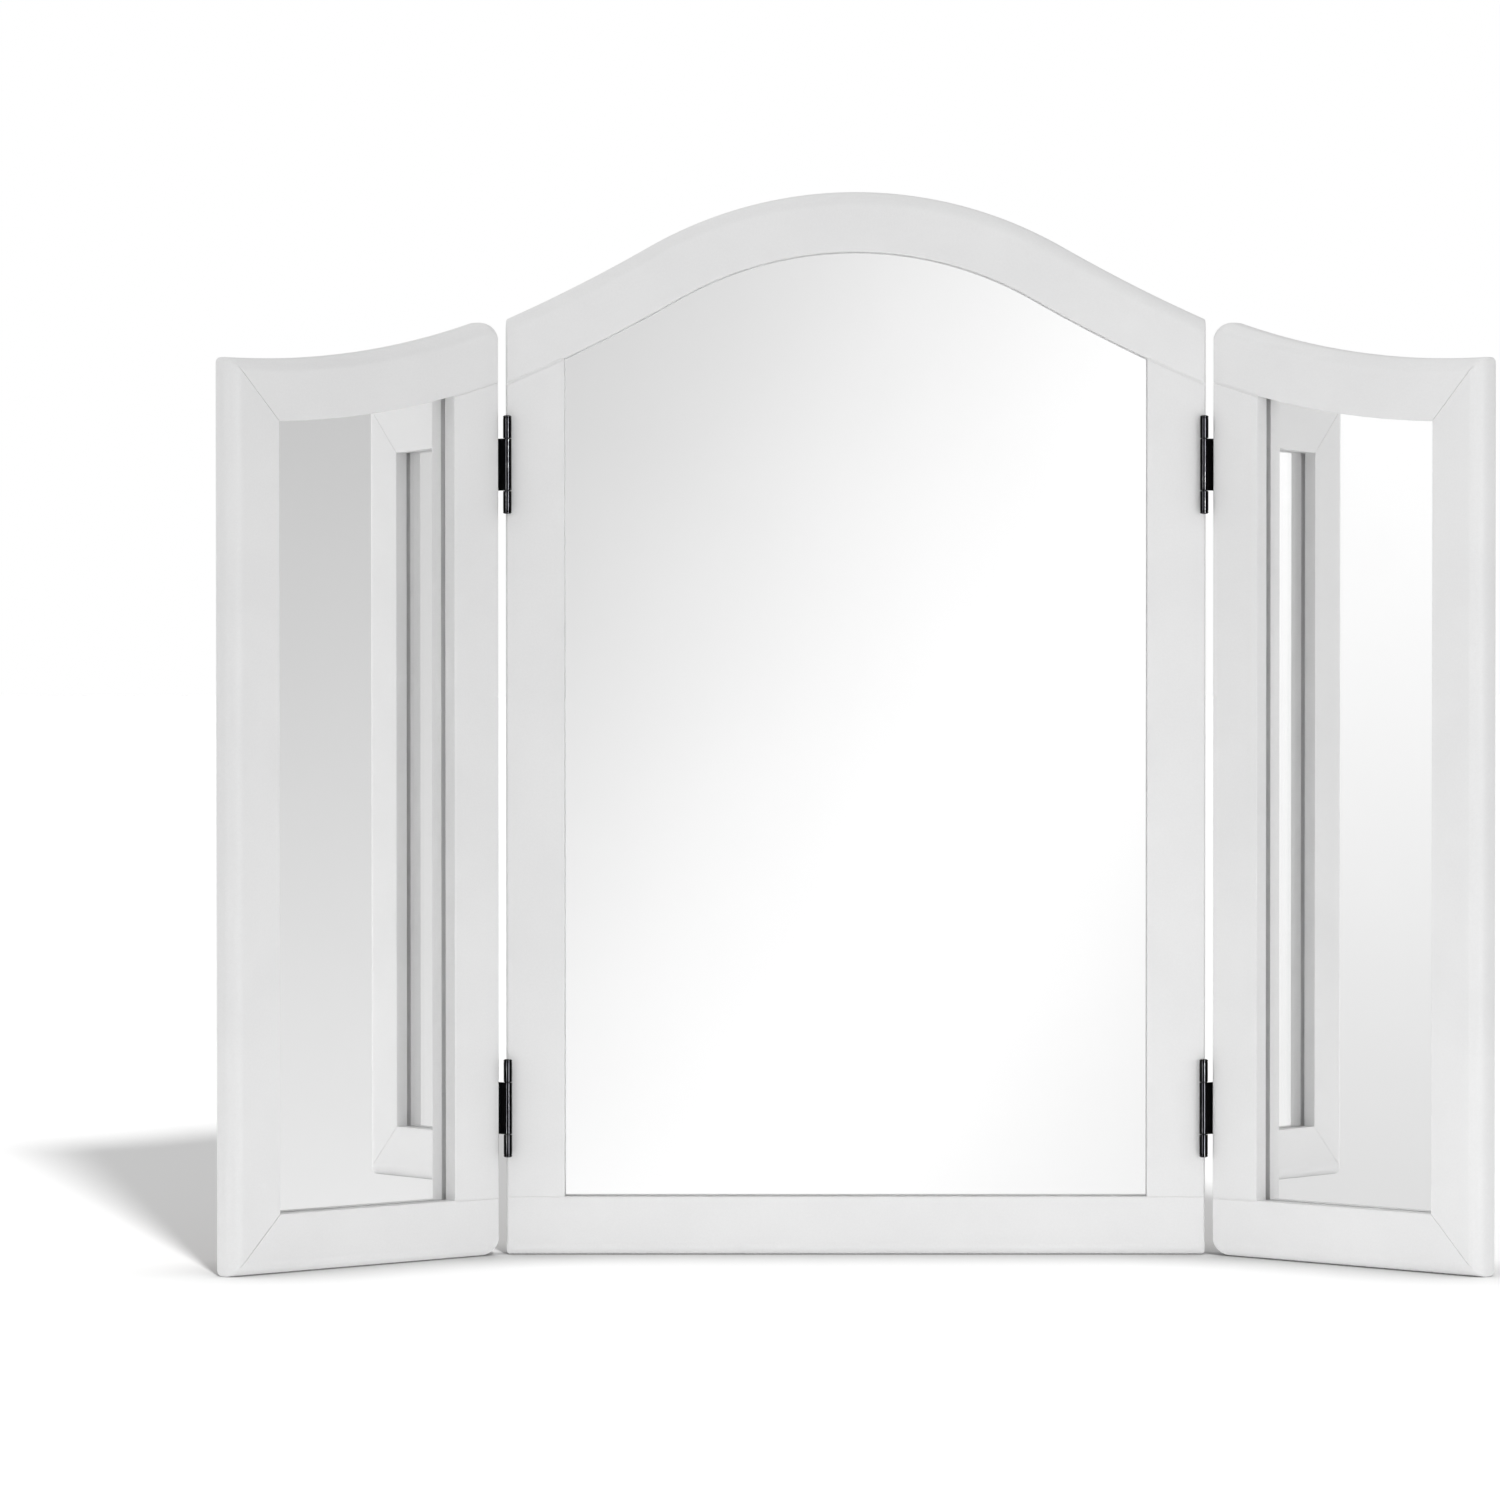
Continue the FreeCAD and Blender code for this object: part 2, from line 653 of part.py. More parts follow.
def beside_hinge(low, high):
    """A test for the centre panel's outer ends between two heights."""
    return lambda point: close_to(abs(point.x), half_width) and low < point.z < high


centre_top = rounded(centre_top, "centre_top_bullnose", edge_radius, on_crown)
centre_top = rounded(centre_top, "centre_top_ends", arris, beside_hinge(joint_out + 1, crown_end + 1))
keep("centre_top_rail", cut("centre_top_cut", centre_top, centre_tool), CENTRE_PLACE)

# Bottom rail: runs the full width, bullnosed along its foot.
centre_bottom = slab(
    "centre_bottom_blank",
    [
        (f"-{HALF_WIDTH}", "0", None),
        (HALF_WIDTH, "0", None),
        (HALF_WIDTH, "sizes.member_width", None),
        (f"-{HALF_WIDTH}", "sizes.member_width", None),
    ],
    "0",
    FULL,
)
centre_bottom = rounded(
    centre_bottom,
    "centre_bottom_bullnose",
    edge_radius,
    lambda point: at_face(point) and close_to(point.z, 0),
)
centre_bottom = rounded(centre_bottom, "centre_bottom_ends", arris, beside_hinge(-1, member - 1))
keep("centre_bottom_rail", cut("centre_bottom_cut", centre_bottom, centre_tool), CENTRE_PLACE)

# Stiles: square lengths between the rails, their outer edges eased beside the hinges.
for side_name, side in (("left", "-"), ("right", "")):
    stile = slab(
        f"centre_{side_name}_stile_blank",
        [
            (f"{side}{OPENING_HALF}", "sizes.member_width", None),
            (f"{side}{HALF_WIDTH}", "sizes.member_width", None),
            (f"{side}{HALF_WIDTH}", crown_up(HALF_WIDTH, RAIL_INNER), None),
            (f"{side}{OPENING_HALF}", crown_up(OPENING_HALF, RAIL_INNER), None),
        ],
        "0",
        FULL,
    )
    outer_edges = beside_hinge(member - 1, joint_out + 1)
    stile = rounded(
        stile,
        f"centre_{side_name}_stile_edges",
        arris,
        lambda point: at_face(point) and outer_edges(point),
    )
    stile = cut(f"centre_{side_name}_stile_cut", stile, centre_tool)
    keep(f"centre_{side_name}_stile", stile, CENTRE_PLACE)

keep_sheets("centre", centre_sheet_outline, centre_shanks, CENTRE_PLACE)
for name, source, places in (
    ("centre_board_screws", board_screw, centre_screw_places),
    ("centre_hinge_screws", hinge_screw, centre_hinge_places),
    ("centre_dowels", dowels["square"][1], centre_dowel_places),
):
    fasteners = group("Part::Compound", f"{name}_set", copies_of(source, name, places))
    keep(name, fasteners, CENTRE_PLACE)


# ---------------------------------------------------------------- wing, drawn once as the right-hand one

hinge_edge = value_of(HINGE_EDGE)
free_edge = value_of(FREE_EDGE)
wing_start = value_of(WING_OPENING_START)
wing_end = value_of(WING_OPENING_END)
WING_INNER = "-sizes.wing_rail_width"
wing_joint_out = value_of(sweep_up(HINGE_EDGE, WING_INNER))
wing_joint_in = value_of(sweep_up(WING_OPENING_START, WING_INNER))
wing_mitre_in = value_of(sweep_up(WING_OPENING_END, WING_INNER))
wing_mitre_out = value_of(sweep_up(FREE_EDGE, "0"))
wing_top = value_of(sweep_up(HINGE_EDGE, "0"))


def wing_joint_up(across):
    """Height of the straight joint under the hollow rail."""
    share = (wing_start - across) / (wing_start - hinge_edge)
    return wing_joint_in + share * (wing_joint_out - wing_joint_in)


# Square joints beside the hinges, mitres at the free edge.
foot_mitre = ((free_edge, 0), (wing_end, member), "sizes.hairline")
top_mitre = ((free_edge, wing_mitre_out), (wing_end, wing_mitre_in), "sizes.hairline")
wing_joints = [
    ((hinge_edge, member), (wing_start, member), "sizes.groove_width"),
    ((hinge_edge, wing_joint_out), (wing_start, wing_joint_in), "sizes.groove_width"),
    foot_mitre,
    top_mitre,
]
wing_square_places = square_joint_dowels(lambda across: member, wing_start, -1)
wing_square_places += square_joint_dowels(wing_joint_up, wing_start, -1)
wing_mitre_places = mitre_dowels(foot_mitre[1], foot_mitre[0]) + mitre_dowels(top_mitre[1], top_mitre[0])

# Back panel screws: three along each stile, two along each rail.
wing_screw_points = []
for share in (-1, 0, 1):
    up = (member + wing_joint_in) / 2 + share * 0.38 * (wing_mitre_in - member)
    wing_screw_points.append((wing_start - screw_line, up))
    wing_screw_points.append((wing_end + screw_line, up))
for share in (0.2, 0.8):
    across = f"({WING_OPENING_START} + {share} * ({WING_OPENING_END} - {WING_OPENING_START}))"
    line_up = sweep_up(across, f"({SCREW_LINE} - sizes.wing_rail_width)")
    wing_screw_points.append((value_of(across), member - screw_line))
    wing_screw_points.append((value_of(across), value_of(line_up)))
wing_screw_places = screw_places(wing_screw_points)

wing_hinge_places = hinge_screw_places(
    value_of(WING_LEAF_FACE),
    value_of("sizes.wing_leaf_reach / 2"),
    value_of("sizes.leaf_screw_height"),
    -1,
)
wing_shanks = copies_of(board_screw_shank, "wing_board_shank", wing_screw_places)
wing_tool = panel_tool(
    "wing",
    wing_sheet_outline,
    grooves("wing", wing_joints)
    + copies_of(dowels["square"][0], "wing_square_hole", wing_square_places)
    + copies_of(dowels["mitre"][0], "wing_mitre_hole", wing_mitre_places)
    + wing_shanks
    + copies_of(hinge_screw_blank, "wing_hinge_hole", wing_hinge_places),
)


def faded(base, name):
    """Round a run of edges that turns a corner beside a hinge: the full rounding of the long edge fades,
    over the corner's arc, to the arris of the hinge edge."""
    fillet = doc.addObject("Part::Fillet", name)
    fillet.Base = base
    corner_radius = value_of("sizes.wing_corner_radius")
    arcs = []
    for number, edge in enumerate(base.Shape.Edges, 1):
        if not isinstance(edge.Curve, Part.Circle) or not close_to(edge.Curve.Radius, corner_radius):
            continue
        starts_at_hinge = close_to(edge.firstVertex(False).Point.x, hinge_edge)
        radii = (arris, edge_radius) if starts_at_hinge else (edge_radius, arris)
        arcs.append((number, *radii))
    fillet.Edges = arcs
    doc.recompute()
    return fillet


def keep_wing_member(name, edged):
    """Cut a member's joints and spaces, and keep it."""
    keep(f"right_wing_{name}", cut(f"wing_{name}_cut", edged, wing_tool), WING_PLACE)


# Top rail: hollow sweep, rounded down to the hinge edge, mitred to the outer stile.
top_rail = slab(
    "wing_top_blank",
    [
        (HINGE_EDGE, sweep_up(HINGE_EDGE, WING_INNER), None),
        (
            WING_OPENING_START,
            sweep_up(WING_OPENING_START, WING_INNER),
            (f"(sizes.wing_sweep_radius - ({WING_INNER}))", "left"),
        ),
        (WING_OPENING_END, sweep_up(WING_OPENING_END, WING_INNER), None),
        (FREE_EDGE, sweep_up(FREE_EDGE, "0"), ("sizes.wing_sweep_radius", "right")),
        (HINGE_EDGE, sweep_up(HINGE_EDGE, "0"), None),
    ],
    "0",
    FULL,
)
top_rail = with_corner(top_rail, "wing_top_corner", HINGE_EDGE, sweep_up(HINGE_EDGE, "0"))
keep_wing_member("top_rail", faded(top_rail, "wing_top_edges"))

# Bottom rail: bullnosed along its foot, rounded up to the hinge edge, mitred to the outer stile.
bottom_rail = slab(
    "wing_bottom_blank",
    [
        (HINGE_EDGE, "0", None),
        (FREE_EDGE, "0", None),
        (WING_OPENING_END, "sizes.member_width", None),
        (HINGE_EDGE, "sizes.member_width", None),
    ],
    "0",
    FULL,
)
bottom_rail = with_corner(bottom_rail, "wing_bottom_corner", HINGE_EDGE, "0")
keep_wing_member("bottom_rail", faded(bottom_rail, "wing_bottom_edges"))

# Outer stile: mitred at both ends, bullnosed along the free edge.
outer_stile = slab(
    "wing_outer_stile_blank",
    [
        (WING_OPENING_END, "sizes.member_width", None),
        (FREE_EDGE, "0", None),
        (FREE_EDGE, sweep_up(FREE_EDGE, "0"), None),
        (WING_OPENING_END, sweep_up(WING_OPENING_END, WING_INNER), None),
    ],
    "0",
    FULL,
)
outer_stile = rounded(
    outer_stile,
    "wing_outer_stile_edges",
    edge_radius,
    lambda point: at_face(point) and close_to(point.x, free_edge),
)
keep_wing_member("outer_stile", outer_stile)

# Hinge stile: a square length between the rails.
hinge_stile = slab(
    "wing_hinge_stile_blank",
    [
        (HINGE_EDGE, "sizes.member_width", None),
        (WING_OPENING_START, "sizes.member_width", None),
        (WING_OPENING_START, sweep_up(WING_OPENING_START, WING_INNER), None),
        (HINGE_EDGE, sweep_up(HINGE_EDGE, WING_INNER), None),
    ],
    "0",
    FULL,
)
hinge_stile = rounded(
    hinge_stile,
    "wing_hinge_stile_edges",
    arris,
    lambda point: at_face(point) and close_to(point.x, hinge_edge),
)
keep_wing_member("hinge_stile", hinge_stile)

keep_sheets("right_wing", wing_sheet_outline, wing_shanks, WING_PLACE)
wing_dowels = copies_of(dowels["square"][1], "wing_square_dowel", wing_square_places)
wing_dowels += copies_of(dowels["mitre"][1], "wing_mitre_dowel", wing_mitre_places)
for name, members in (
    ("board_screws", copies_of(board_screw, "wing_board_screw", wing_screw_places)),
    ("hinge_screws", copies_of(hinge_screw, "wing_hinge_screw", wing_hinge_places)),
    ("dowels", wing_dowels),
):
    keep(f"right_wing_{name}", group("Part::Compound", f"wing_{name}_set", members), WING_PLACE)


# ---------------------------------------------------------------- hinges, drawn about their own axis

MIDDLE_HALF = "(sizes.middle_knuckle / 2)"
KNUCKLE_START = "(sizes.middle_knuckle / 2 + sizes.knuckle_gap)"
HINGE_HALF = "(sizes.hinge_length / 2)"
WING_BORE = "(sizes.pin_radius + sizes.pin_clearance)"
FINIAL_TOP = f"({HINGE_HALF} + sizes.finial_height)"


def frame_leaf(name):
    """The outer leaf, on the centre panel: two arms, a knuckle each, round a window for the inner leaf."""
    reach = "sizes.hinge_proud + sizes.leaf_reach"
    window_end = "sizes.hinge_proud + sizes.wing_leaf_reach + sizes.leaf_clearance"
    plate = block(
        f"{name}_plate",
        ("sizes.hinge_inset", FRAME_LEAF_FACE),
        ("0", reach),
        (f"-{HINGE_HALF}", HINGE_HALF),
    )
    window = block(
        f"{name}_window",
        ("sizes.hinge_inset - sizes.leaf_thickness", f"{FRAME_LEAF_FACE} + sizes.leaf_thickness"),
        ("-sizes.knuckle_radius", window_end),
        (f"-{WINDOW_HALF}", WINDOW_HALF),
    )
    upper = upright(f"{name}_upper", "sizes.knuckle_radius", KNUCKLE_START, HINGE_HALF)
    lower = upright(f"{name}_lower", "sizes.knuckle_radius", f"-{HINGE_HALF}", f"-{KNUCKLE_START}")
    solid = group("Part::MultiFuse", f"{name}_solid", [cut(f"{name}_arms", plate, window), upper, lower])
    bore = upright(f"{name}_bore", "sizes.pin_radius", f"-{HINGE_HALF}", HINGE_HALF)
    across, back = value_of(FRAME_LEAF_FACE), value_of("sizes.hinge_proud + sizes.leaf_reach / 2")
    arm = value_of(ARM_MIDDLE)
    places = [((across, back, side * arm), (1, 0, 0)) for side in (1, -1)]
    screws = copies_of(hinge_screw_blank, f"{name}_screw", places)
    return cut(f"{name}_cut", solid, group("Part::MultiFuse", f"{name}_tool", [bore] + screws))


def wing_leaf(name):
    """The inner leaf, on the wing: one plate with the middle knuckle."""
    plate = block(
        f"{name}_plate",
        (WING_LEAF_FACE, HINGE_EDGE),
        ("0", "sizes.hinge_proud + sizes.wing_leaf_reach"),
        (f"-{MIDDLE_HALF}", MIDDLE_HALF),
    )
    knuckle = upright(f"{name}_knuckle", "sizes.knuckle_radius", f"-{MIDDLE_HALF}", MIDDLE_HALF)
    solid = group("Part::MultiFuse", f"{name}_solid", [plate, knuckle])
    bore = upright(f"{name}_bore", WING_BORE, f"-{MIDDLE_HALF}", MIDDLE_HALF)
    across, back = value_of(WING_LEAF_FACE), value_of("sizes.hinge_proud + sizes.wing_leaf_reach / 2")
    spread = value_of("sizes.leaf_screw_height")
    places = [((across, back, side * spread), (-1, 0, 0)) for side in (1, -1)]
    screws = copies_of(hinge_screw_blank, f"{name}_screw", places)
    return cut(f"{name}_cut", solid, group("Part::MultiFuse", f"{name}_tool", [bore] + screws))


def pin(name):
    """The pin through the three knuckles, with a domed button on each end."""
    cap = dome("sizes.knuckle_radius", "sizes.finial_height / 2")
    rim = f"({FINIAL_TOP} - sizes.finial_height / 2)"
    return turned(
        name,
        [
            ("0", f"-{FINIAL_TOP}", (cap, "left")),
            ("sizes.knuckle_radius", f"-{rim}", None),
            ("sizes.knuckle_radius", f"-{HINGE_HALF}", None),
            ("sizes.pin_radius", f"-{HINGE_HALF}", None),
            ("sizes.pin_radius", HINGE_HALF, None),
            ("sizes.knuckle_radius", HINGE_HALF, None),
            ("sizes.knuckle_radius", rim, (cap, "left")),
            ("0", FINIAL_TOP, None),
        ],
    )


for level, height in HINGE_MIDDLES.items():
    middle = Placement(Vector(0, 0, value_of(height)), Rotation())
    hinge = f"right_{level}_hinge"
    keep(f"{hinge}_frame_leaf", frame_leaf(f"{level}_frame_leaf"), AXIS_PLACE * middle)
    keep(f"{hinge}_wing_leaf", wing_leaf(f"{level}_wing_leaf"), AXIS_PLACE * middle * FOLD)
    keep(f"{hinge}_pin", pin(f"{level}_pin"), AXIS_PLACE * middle)


# ---------------------------------------------------------------- left side, checks and files

for right_name in [name for name in parts if name.startswith("right_")]:
    keep_mirrored(right_name.replace("right_", "left_", 1), right_name)

doc.recompute()
for item in doc.Objects:
    if "Invalid" in item.State or "Error" in item.State:
        raise RuntimeError(f"{item.Name} did not compute: {item.State}")
for name, part in parts.items():
    if part.Shape.isNull() or not part.Shape.isValid():
        raise RuntimeError(f"{name} has no valid shape")

os.makedirs("parts", exist_ok=True)
for name, part in parts.items():
    part.Shape.exportStep(f"parts/{name}.step")
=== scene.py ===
import math

import bmesh
import bpy
import numpy as np
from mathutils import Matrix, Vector


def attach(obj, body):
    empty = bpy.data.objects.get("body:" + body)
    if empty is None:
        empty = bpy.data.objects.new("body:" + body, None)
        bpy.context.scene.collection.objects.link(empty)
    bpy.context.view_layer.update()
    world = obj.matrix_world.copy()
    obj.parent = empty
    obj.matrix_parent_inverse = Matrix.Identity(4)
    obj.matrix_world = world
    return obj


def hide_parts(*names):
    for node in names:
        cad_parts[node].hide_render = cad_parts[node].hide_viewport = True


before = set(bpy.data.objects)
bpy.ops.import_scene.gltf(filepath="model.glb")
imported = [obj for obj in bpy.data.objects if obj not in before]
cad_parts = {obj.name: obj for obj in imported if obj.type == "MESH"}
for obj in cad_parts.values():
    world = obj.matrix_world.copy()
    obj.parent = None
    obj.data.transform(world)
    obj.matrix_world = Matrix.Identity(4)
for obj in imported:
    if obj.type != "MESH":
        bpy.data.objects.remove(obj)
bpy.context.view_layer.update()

# ---------------------------------------------------------------- bottom rail of the centre panel
# A square length of painted wood across the panel's foot. It is bullnosed along the floor, eased at its
# ends beside the hinges and rebated behind for the mirror. The stiles stand on it, doweled and glued.

MILLIMETRES = 1000  # to the metre; sizes are in millimetres until a piece is stood in its place
PANEL_THICKNESS = 18.0
LIP = 7.5  # wood in front of the mirror
PACKING_BACK = 14.5  # how deep the packing ends and the back panel starts
GLASS_REBATE = 7.0
BOARD_REBATE = 15.0
SIGHT_EASE = 0.45  # the opening's front edge
BACK_EASE = 0.3  # and its back edge
BULLNOSE = 7.5
ARRIS = 1.5
SANDED = 1.3  # corners rubbed round
SANDED_STEPS = 4
SHARP_TURN = math.radians(38)  # an edge that turns further is shaded sharp
STUB = 1  # a run so short only gives its corner a direction
STILE_BRUSHING = 1000  # keeps the stiles' brush marks apart from the rails'

CENTRE_HALF = 180.0
OPENING_HALF = 150.0
MEMBER = 30.0


class Tint:
    """A socket in a finish's node tree. Arithmetic on it adds Math nodes to the tree."""

    def __init__(self, tree, socket=None):
        self.tree = tree
        self.socket = socket

    def node(self, kind, settings=None, inputs=None, output=0):
        """Add a node: its settings first, then the values or links of its sockets."""
        made = self.tree.nodes.new(kind)
        for name, value in (settings or {}).items():
            setattr(made, name, value)
        for key, value in (inputs or {}).items():
            if isinstance(value, Tint):
                self.tree.links.new(value.socket, made.inputs[key])
            else:
                made.inputs[key].default_value = value
        return Tint(self.tree, made.outputs[output])

    def math(self, operation, first, second):
        return self.node("ShaderNodeMath", {"operation": operation}, {0: first, 1: second})

    def __add__(self, other):
        return self.math("ADD", self, other)

    def __radd__(self, other):
        return self.math("ADD", other, self)

    def __sub__(self, other):
        return self.math("SUBTRACT", self, other)

    def __rsub__(self, other):
        return self.math("SUBTRACT", other, self)

    def __mul__(self, other):
        return self.math("MULTIPLY", self, other)

    def __rmul__(self, other):
        return self.math("MULTIPLY", other, self)

    def __truediv__(self, other):
        return self.math("DIVIDE", self, other)

    def between(self, low, high):
        """0 below low, 1 above high and an even ease between them."""
        settings = {"interpolation_type": "SMOOTHSTEP"}
        inputs = {"Value": self, "From Min": low, "From Max": high}
        return self.node("ShaderNodeMapRange", settings, inputs)

    def noise(self, where, scale, detail=2.0):
        """Even grey noise at a place, with so many lumps to the metre."""
        return self.node("ShaderNodeTexNoise", None, {"Vector": where, "Scale": scale, "Detail": detail})

    def stretched(self, where, scale):
        """A place drawn out or pressed together along each of its three directions."""
        return self.node("ShaderNodeMapping", None, {"Vector": where, "Scale": scale})

    def blend(self, share, first, second):
        """A colour between two colours."""
        settings = {"data_type": "RGBA"}
        return self.node("ShaderNodeMix", settings, {0: share, 6: first, 7: second}, output=2)

    def bump(self, height, depth, strength=1.0):
        """A surface whose height varies by so many metres."""
        inputs = {"Height": height, "Distance": depth, "Strength": strength}
        return self.node("ShaderNodeBump", None, inputs)


def new_finish(name, **fixed):
    """A material whose fixed values sit on the shader's own sockets. Returns it, its tree and its shader."""
    material = bpy.data.materials.new(name)
    material.use_nodes = True
    shader = material.node_tree.nodes["Principled BSDF"]
    for socket, value in fixed.items():
        shader.inputs[socket.replace("_", " ")].default_value = value
    return material, Tint(material.node_tree), shader


def dress(tint, shader, **varying):
    """Link what varies over a surface to the shader's sockets."""
    for socket, value in varying.items():
        tint.tree.links.new(value.socket, shader.inputs[socket.replace("_", " ")])


def white_enamel():
    """Brushed white satin enamel on sanded wood: faint lengthwise brush marks under a fine pebble."""
    material, tint, shader = new_finish("white_enamel", IOR=1.45)
    grain = tint.node("ShaderNodeAttribute", {"attribute_name": "grain"}, output="Vector")
    brush = tint.noise(tint.stretched(grain, (26.0, 1500.0, 1500.0)), 1.0, 3.0)
    pebble = tint.noise(grain, 850.0, 3.0)
    speck = tint.noise(grain, 2600.0, 2.0)
    cloud = tint.noise(grain, 16.0, 3.0)
    tone = cloud * 0.45 + pebble * 0.25 + speck * 0.3
    dulled, clean = (0.755, 0.755, 0.757, 1), (0.80, 0.80, 0.80, 1)
    colour = tint.blend(tone.between(0.3, 0.7), dulled, clean)
    relief = tint.bump(brush * 0.35 + pebble * 0.45 + speck * 0.2, 0.00004, 0.7)
    dress(tint, shader, Base_Color=colour, Roughness=0.36 + 0.16 * tone, Normal=relief)
    return material


def round_over(radius):
    """How far an edge rounded on both faces is drawn back at each depth."""

    def drawn_back(depth):
        away = min(depth, PANEL_THICKNESS - depth)
        return radius - math.sqrt(radius**2 - (radius - away) ** 2) if away < radius else 0.0

    steps = max(3, round(3 * math.sqrt(radius)))
    drawn_back.depths = [radius * (1 - math.cos(math.pi / 2 * k / steps)) for k in range(steps + 1)]
    return drawn_back


def stepped(*steps):
    """How far an edge is drawn back by (depth, width) steps from both faces: two of them make a groove."""

    def drawn_back(depth):
        return float(np.interp(min(depth, PANEL_THICKNESS - depth), *zip(*steps)))

    drawn_back.depths = [depth for depth, _ in steps]
    return drawn_back


plain_joint = stepped((0.0, 0.25), (0.25, 0.02), (0.4, 0.02), (0.402, 0.0))


def sight_edge(depth):
    """The opening's edge: softened in front, then stepped back for the mirror and the back panel."""
    if depth < SIGHT_EASE:
        return SIGHT_EASE - math.sqrt(SIGHT_EASE**2 - (SIGHT_EASE - depth) ** 2)
    if depth < LIP:
        return 0.0
    back_ease = max(0.0, BACK_EASE - (PANEL_THICKNESS - depth))
    return (GLASS_REBATE if depth < PACKING_BACK else BOARD_REBATE) + back_ease


sight_edge.depths = [SIGHT_EASE * (1 - math.cos(math.pi / 6 * k)) for k in range(4)] + [BACK_EASE]


def drawn_line(run, depth):
    """A run's points at one depth, its ends carried on straight, with their distances along the run."""
    points, drawn_back = run
    line = np.array(points, float)
    steps = np.diff(line, axis=0)
    lengths = np.hypot(steps[:, 0], steps[:, 1])
    inward = np.column_stack((-steps[:, 1], steps[:, 0])) / lengths[:, None]
    normals = np.vstack((inward[:1], inward[:-1] + inward[1:], inward[-1:]))
    normals /= np.hypot(normals[:, 0], normals[:, 1])[:, None]
    back = np.array(drawn_back(depth), float).reshape(-1, 1)
    moved = line + normals * back
    places = np.concatenate(([0.0], np.cumsum(lengths)))
    reach = 60.0
    first = moved[0] - (moved[1] - moved[0]) / np.hypot(*(moved[1] - moved[0])) * reach
    last = moved[-1] + (moved[-1] - moved[-2]) / np.hypot(*(moved[-1] - moved[-2])) * reach
    return np.vstack((first, moved, last)), np.concatenate(([-reach], places, [places[-1] + reach]))


def meeting(first, second, corner):
    """Where two lines cross nearest a corner: the point, and its distances along both runs."""
    (line, places), (other, other_places) = first, second
    a, da = line[:-1, None], (line[1:] - line[:-1])[:, None]
    b, db = other[None, :-1], (other[1:] - other[:-1])[None]
    across = da[..., 0] * db[..., 1] - da[..., 1] * db[..., 0]
    across = np.where(np.abs(across) < 1e-12, np.nan, across)
    gap = b - a
    s = (gap[..., 0] * db[..., 1] - gap[..., 1] * db[..., 0]) / across
    t = (gap[..., 0] * da[..., 1] - gap[..., 1] * da[..., 0]) / across
    crossing = a + da * s[..., None]
    away = np.hypot(crossing[..., 0] - corner[0], crossing[..., 1] - corner[1])
    inside = (s >= -1e-9) & (s <= 1 + 1e-9) & (t >= -1e-9) & (t <= 1 + 1e-9)
    away = np.where(inside, away, np.inf)
    i, j = np.unravel_index(np.nanargmin(away), away.shape)
    along = places[i] + s[i, j] * (places[i + 1] - places[i])
    along_other = other_places[j] + t[i, j] * (other_places[j + 1] - other_places[j])
    return crossing[i, j], along, along_other


def sanded(corner, arriving, leaving, part):
    """The points of a corner rubbed round: the whole of it, or the half before or after a mitre."""
    whole = part == "whole"
    turning = math.acos(float(arriving @ leaving)) if whole else math.pi / 2
    along, way = (leaving, 1) if part == "after" else (arriving, -1)
    to_centre = np.array((-along[1], along[0]))
    centre = corner + way * along * SANDED * math.tan(turning / 2) + to_centre * SANDED
    start = math.atan2(-to_centre[1], -to_centre[0])
    first, last = {"whole": (0.0, turning), "before": (0.0, turning / 2), "after": (-turning / 2, 0.0)}[part]
    angles = [start + first + (last - first) * k / SANDED_STEPS for k in range(SANDED_STEPS + 1)]
    return [(centre[0] + SANDED * math.cos(a), centre[1] + SANDED * math.sin(a)) for a in angles]


def outline_at(runs, depth, softened=None):
    """A member's outline at one depth: every run drawn back, then met corner to corner. softened says
    which corners, each by the run that ends there, are rubbed round."""
    lines = [drawn_line(run, depth) for run in runs]
    corners = []
    for number, run in enumerate(runs):
        following = (number + 1) % len(runs)
        corners.append(meeting(lines[number], lines[following], run[0][-1]))
    outline = []
    for number, ((points, _), (line, places)) in enumerate(zip(runs, lines)):
        start, _, begins = corners[number - 1]
        before = (number - 1) % len(runs)
        if before in (softened or {}):
            arriving = lines[before][0][-1] - lines[before][0][-2]
            leaving = line[1] - line[0]
            arriving, leaving = arriving / np.hypot(*arriving), leaving / np.hypot(*leaving)
            outline += sanded(start, arriving, leaving, softened[before])
        else:
            outline.append(tuple(start))
        ends = corners[number][1]
        inner = places[2:-2] / places[-2]
        for place in begins + (ends - begins) * inner:
            outline.append((np.interp(place, places, line[:, 0]), np.interp(place, places, line[:, 1])))
    return outline


def depths_of(runs):
    """The depths at which a member's outline is drawn, each with the depth it is worked out for."""
    near = {round(depth, 4) for _, drawn_back in runs for depth in drawn_back.depths}
    levels = {(depth, depth) for depth in near} | {(PANEL_THICKNESS - d, PANEL_THICKNESS - d) for d in near}
    if any(drawn_back is sight_edge for _, drawn_back in runs):
        levels = {level for level in levels if level[0] not in (LIP, PACKING_BACK)}
        for step in (LIP, PACKING_BACK):
            levels |= {(step, step - 1e-5), (step, step + 1e-5)}
    return sorted(levels)


def skin(shape, rows):
    """Cover the gaps between rows of vertices, each row a closed loop."""
    for row, following in zip(rows, rows[1:]):
        for k in range(len(row)):
            n = (k + 1) % len(row)
            shape.faces.new((row[k], following[k], following[n], row[n]))


def in_scene(name, data):
    """A new object, linked into the scene."""
    made = bpy.data.objects.new(name, data)
    bpy.context.scene.collection.objects.link(made)
    return made


def as_object(shape, name):
    """A finished shape as an object."""
    mesh = bpy.data.meshes.new(name)
    shape.to_mesh(mesh)
    shape.free()
    return in_scene(name, mesh)


def make_plain(piece):
    """Turn what a piece's modifiers give into its plain mesh."""
    bpy.context.view_layer.update()
    graph = bpy.context.evaluated_depsgraph_get()
    plain = bpy.data.meshes.new_from_object(piece.evaluated_get(graph), depsgraph=graph)
    piece.modifiers.clear()
    piece.data = plain
    plain.name = piece.name


